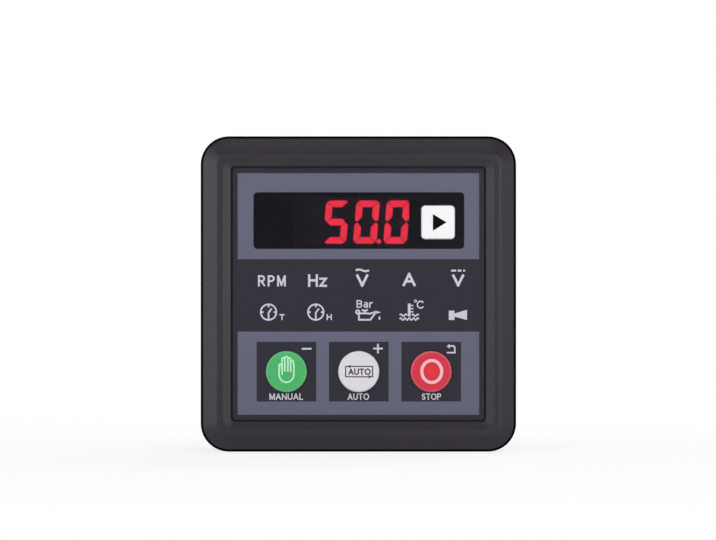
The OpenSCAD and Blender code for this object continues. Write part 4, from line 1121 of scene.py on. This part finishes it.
def thread_turns(crest, centre, first, last, sizes):
    """Open skin of a thread round an axis along y, from before the first height to past the last."""
    skin = bmesh.new()
    pitch = sizes.thread_pitch
    root = crest - sizes.thread_depth
    knots = []
    for tooth in range(-1, int((last - first) / pitch) + SPARE_TEETH):
        for share, x in ((0.0, crest), (ROOT_START, root), (ROOT_END, root)):
            knots.append(skin.verts.new((x, first + (tooth + share) * pitch, centre.z)))
    rail = [skin.edges.new(pair) for pair in zip(knots, knots[1:])]
    bmesh.ops.spin(
        skin, geom=knots + rail, cent=centre, axis=(0, 1, 0), dvec=(0, pitch / TURN_STEPS, 0),
        angle=math.tau, steps=TURN_STEPS, use_merge=False,
    )
    bmesh.ops.remove_doubles(skin, verts=skin.verts, dist=THREAD_WELD)
    return skin


def threaded_screw(node, sizes):
    """A copy of a screw's head, on a shank with a real thread."""
    low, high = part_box(node)
    centre = (low + high) / 2
    tip = low.y
    head = bmesh.new()
    head.from_mesh(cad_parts[node].data)
    bmesh.ops.remove_doubles(head, verts=head.verts, dist=TOUCH)
    rings = [((vert.co - centre).xz.length, vert.co.y) for vert in head.verts]
    shank_radius = max(radius for radius, y in rings if y < centre.y)
    shoulder = min(y for radius, y in rings if radius > shank_radius + HEAD_STEP)
    cut_plane(head, centre, shoulder, keep_above=True)
    shank = thread_turns(centre.x + shank_radius, centre, tip, shoulder, sizes)
    cut_plane(shank, centre, tip, keep_above=True)
    cut_plane(shank, centre, shoulder + sizes.thread_overlap, keep_above=False)
    # Chamfer at the tip
    for vert in shank.verts:
        reach = vert.co - centre
        limit = shank_radius - sizes.thread_chamfer + (vert.co.y - tip)
        if reach.xz.length > limit:
            shrink = limit / reach.xz.length
            vert.co.x = centre.x + reach.x * shrink
            vert.co.z = centre.z + reach.z * shrink
    bmesh.ops.recalc_face_normals(shank, faces=shank.faces)
    join(head, shank, Matrix.Identity(4))
    return head


class GENSET_OT_cut_screw_threads(bpy.types.Operator):
    """Give the two clamp screws their thread, with the head of the solid kept"""

    bl_idname = "genset.cut_screw_threads"
    bl_label = "Cut Screw Threads"

    def execute(self, context):
        steel = bpy.data.materials["Plated steel"]
        for side in ("left", "right"):
            node = side + "_clamp_screw"
            screw = threaded_screw(node, context.scene.genset_sizes)
            piece = add_piece(side + "_threaded_screw", screw, steel, side + "_screw")
            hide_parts(node)
        return {"FINISHED"}


class GENSET_OT_print_numbers(bpy.types.Operator):
    """Print the terminal numbers on the rear of the case"""

    bl_idname = "genset.print_numbers"
    bl_label = "Print Terminal Numbers"

    def execute(self, context):
        sizes = context.scene.genset_sizes
        deep = ink_depth()
        tall = sizes.number_height / MM
        facing_rear = Matrix.Rotation(math.pi, 4, "Z") @ Matrix.Rotation(math.pi / 2, 4, "X")
        for plug, edge, side, first in (("upper_plug", 0, -1, 1), ("lower_plug", 1, 1, 1 + POLES)):
            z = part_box(plug)[edge].z + side * sizes.number_height
            row = bmesh.new()
            for pole in range(POLES):
                text = str(first + pole)
                half = tall * (sum(GLYPHS[figure][0] for figure in text) + LETTER_GAP * len(text)) / 2
                drawing = words(text, (-half, -tall / 2, half, tall / 2), deep, sizes.thin_line)
                x = ((POLES - 1) / 2 - pole) * sizes.pole_pitch
                join(row, drawing, Matrix.Translation((x, CASE_REAR - sizes.ink_sink, z)) @ facing_rear)
            add_piece(plug.replace("plug", "numbers"), row, sign_ink(), "housing")
        return {"FINISHED"}


def seen_rays(tree):
    """1 for rays that show a surface to the camera, directly, in a reflection or through glass."""
    path = add_node(tree, "ShaderNodeLightPath")
    seen = mathed(tree, "MAXIMUM", path.outputs["Is Camera Ray"], path.outputs["Is Glossy Ray"])
    return mathed(tree, "MAXIMUM", seen, path.outputs["Is Transmission Ray"])


def mix_shaders(tree, factor, first, second, output):
    """Mixes two shaders and links them to an output."""
    mix = add_node(tree, "ShaderNodeMixShader")
    tree.links.new(factor, mix.inputs["Fac"])
    tree.links.new(first.outputs[0], mix.inputs[1])
    tree.links.new(second.outputs[0], mix.inputs[2])
    tree.links.new(mix.outputs["Shader"], output.inputs["Surface"])


def lay_floor(stage):
    """White floor that keeps the object's shadow near it."""
    made, tree, shader = new_finish("Studio floor")
    tree.nodes.remove(shader)
    paint = add_node(tree, "ShaderNodeBsdfDiffuse")
    white = add_node(tree, "ShaderNodeEmission")
    path = add_node(tree, "ShaderNodeLightPath")
    bounced, seen = [(grey, grey, grey, 1.0) for grey in (stage.floor_bounce, stage.floor_grey)]
    tree.links.new(mixed(tree, path.outputs["Is Camera Ray"], bounced, seen), paint.inputs["Color"])
    place = add_node(tree, "ShaderNodeTexCoord")
    reach = add_node(tree, "ShaderNodeVectorMath", operation="LENGTH")
    tree.links.new(place.outputs["Object"], reach.inputs[0])
    fade = ranged(tree, reach.outputs["Value"], 1 - stage.shadow, 1.0, stage.shadow_near, stage.shadow_far)
    white_share = mathed(tree, "MULTIPLY", fade, seen_rays(tree))
    mix_shaders(tree, white_share, paint, white, tree.nodes["Material Output"])
    sheet = bmesh.new()
    bmesh.ops.create_grid(sheet, x_segments=1, y_segments=1, size=stage.floor_half)
    bmesh.ops.translate(sheet, vec=(0, 0, CAD_BOX[0][2]), verts=sheet.verts)
    floor = add_mesh("floor", sheet, made)


def light_room(scene, stage):
    """White room for the camera, even light for the object, dim front and rear walls in reflections."""
    world = bpy.data.worlds.new("Studio")
    world.use_nodes = True
    scene.world = world
    tree = world.node_tree
    lamp = tree.nodes["Background"]
    lamp.inputs["Color"].default_value = WHITE
    lamp.inputs["Strength"].default_value = stage.ambient
    shown = add_node(tree, "ShaderNodeBackground")
    shown.inputs["Color"].default_value = WHITE
    # Brightness of the walls, from the front of the room at 0 to its rear at 1
    stops = [
        (0.0, stage.front_shade), (0.1, stage.front_shade), (0.35, stage.side_shade),
        (0.55, stage.side_shade), (0.75, stage.rear_shade), (1.0, stage.rear_shade),
    ]
    walls = add_node(tree, "ShaderNodeFloatCurve")
    curve = walls.mapping.curves[0]
    curve.points[0].location = stops[0]
    curve.points[1].location = stops[-1]
    for stop in stops[1:-1]:
        curve.points.new(*stop)
    walls.mapping.update()
    depth = ranged(tree, along_depth(tree, "Generated"), low=0.0, high=1.0, start=-1.0)
    tree.links.new(depth, walls.inputs["Value"])
    path = add_node(tree, "ShaderNodeLightPath")
    level = mathed(tree, "MAXIMUM", walls.outputs["Value"], path.outputs["Is Camera Ray"])
    tree.links.new(level, shown.inputs["Strength"])
    mix_shaders(tree, seen_rays(tree), lamp, shown, tree.nodes["World Output"])


def hang_softboxes(scene):
    """Soft lights to the left, right and top, and one behind for the rear."""
    # Name, place and side in metres, and power in watts
    boxes = [
        ("left_softbox", (-0.38, -0.64, 0.02), 0.4, 2.15),
        ("right_softbox", (0.27, -0.69, 0.02), 0.3, 1.25),
        ("top_softbox", (0.0, -0.5, 0.55), 0.4, 0.75),
        ("rear_softbox", (0.25, 0.75, 0.4), 0.5, 4.0),
    ]
    for name, place, side, watts in boxes:
        lamp = bpy.data.lights.new(name, "AREA")
        lamp.size = side
        lamp.energy = watts
        holder = bpy.data.objects.new(name, lamp)
        holder.location = place
        holder.rotation_euler = Vector(place).to_track_quat("Z", "Y").to_euler()
        scene.collection.objects.link(holder)


def place_camera(scene, stage):
    """Camera straight in front of the panel."""
    data = bpy.data.cameras.new("camera")
    data.sensor_width = 36.0
    data.lens = data.sensor_width * stage.distance / stage.field
    camera = bpy.data.objects.new("camera", data)
    camera.location = (stage.camera_x, FILM_FACE - stage.distance, stage.camera_z)
    camera.rotation_euler = (math.pi / 2, 0, 0)
    scene.collection.objects.link(camera)
    scene.camera = camera


class GENSET_OT_set_stage(bpy.types.Operator):
    """Set up the floor, the studio light and the camera"""

    bl_idname = "genset.set_stage"
    bl_label = "Set Stage"

    def execute(self, context):
        scene = context.scene
        stage = scene.genset_stage
        scene.view_settings.view_transform = "Standard"
        lay_floor(stage)
        light_room(scene, stage)
        hang_softboxes(scene)
        place_camera(scene, stage)
        return {"FINISHED"}


OPERATORS = (
    GENSET_OT_dress_housing,
    GENSET_OT_dress_front,
    GENSET_OT_dress_keys,
    GENSET_OT_dress_display,
    GENSET_OT_dress_boards,
    GENSET_OT_dress_terminals,
    GENSET_OT_print_unit_signs,
    GENSET_OT_print_meter_signs,
    GENSET_OT_print_key_words,
    GENSET_OT_mark_keys,
    GENSET_OT_cut_screw_threads,
    GENSET_OT_print_numbers,
    GENSET_OT_set_stage,
)


class GENSET_PT_builder(bpy.types.Panel):
    """Lists the steps that dress the controller"""

    bl_label = "Genset Controller"
    bl_idname = "GENSET_PT_builder"
    bl_space_type = "VIEW_3D"
    bl_region_type = "UI"
    bl_category = "Genset"

    def draw(self, context):
        for operator in OPERATORS:
            self.layout.operator(operator.bl_idname)


CLASSES = (GensetSizes, GensetColours, GensetStage, *OPERATORS, GENSET_PT_builder)


def register():
    for item in CLASSES:
        bpy.utils.register_class(item)
    bpy.types.Scene.genset_sizes = PointerProperty(type=GensetSizes)
    bpy.types.Scene.genset_colours = PointerProperty(type=GensetColours)
    bpy.types.Scene.genset_stage = PointerProperty(type=GensetStage)


def unregister():
    del bpy.types.Scene.genset_stage
    del bpy.types.Scene.genset_colours
    del bpy.types.Scene.genset_sizes
    for item in reversed(CLASSES):
        bpy.utils.unregister_class(item)


def main():
    """Runs every step in order."""
    register()
    for operator in OPERATORS:
        family, step = operator.bl_idname.split(".")
        getattr(getattr(bpy.ops, family), step)()


if __name__ == "__main__":
    main()
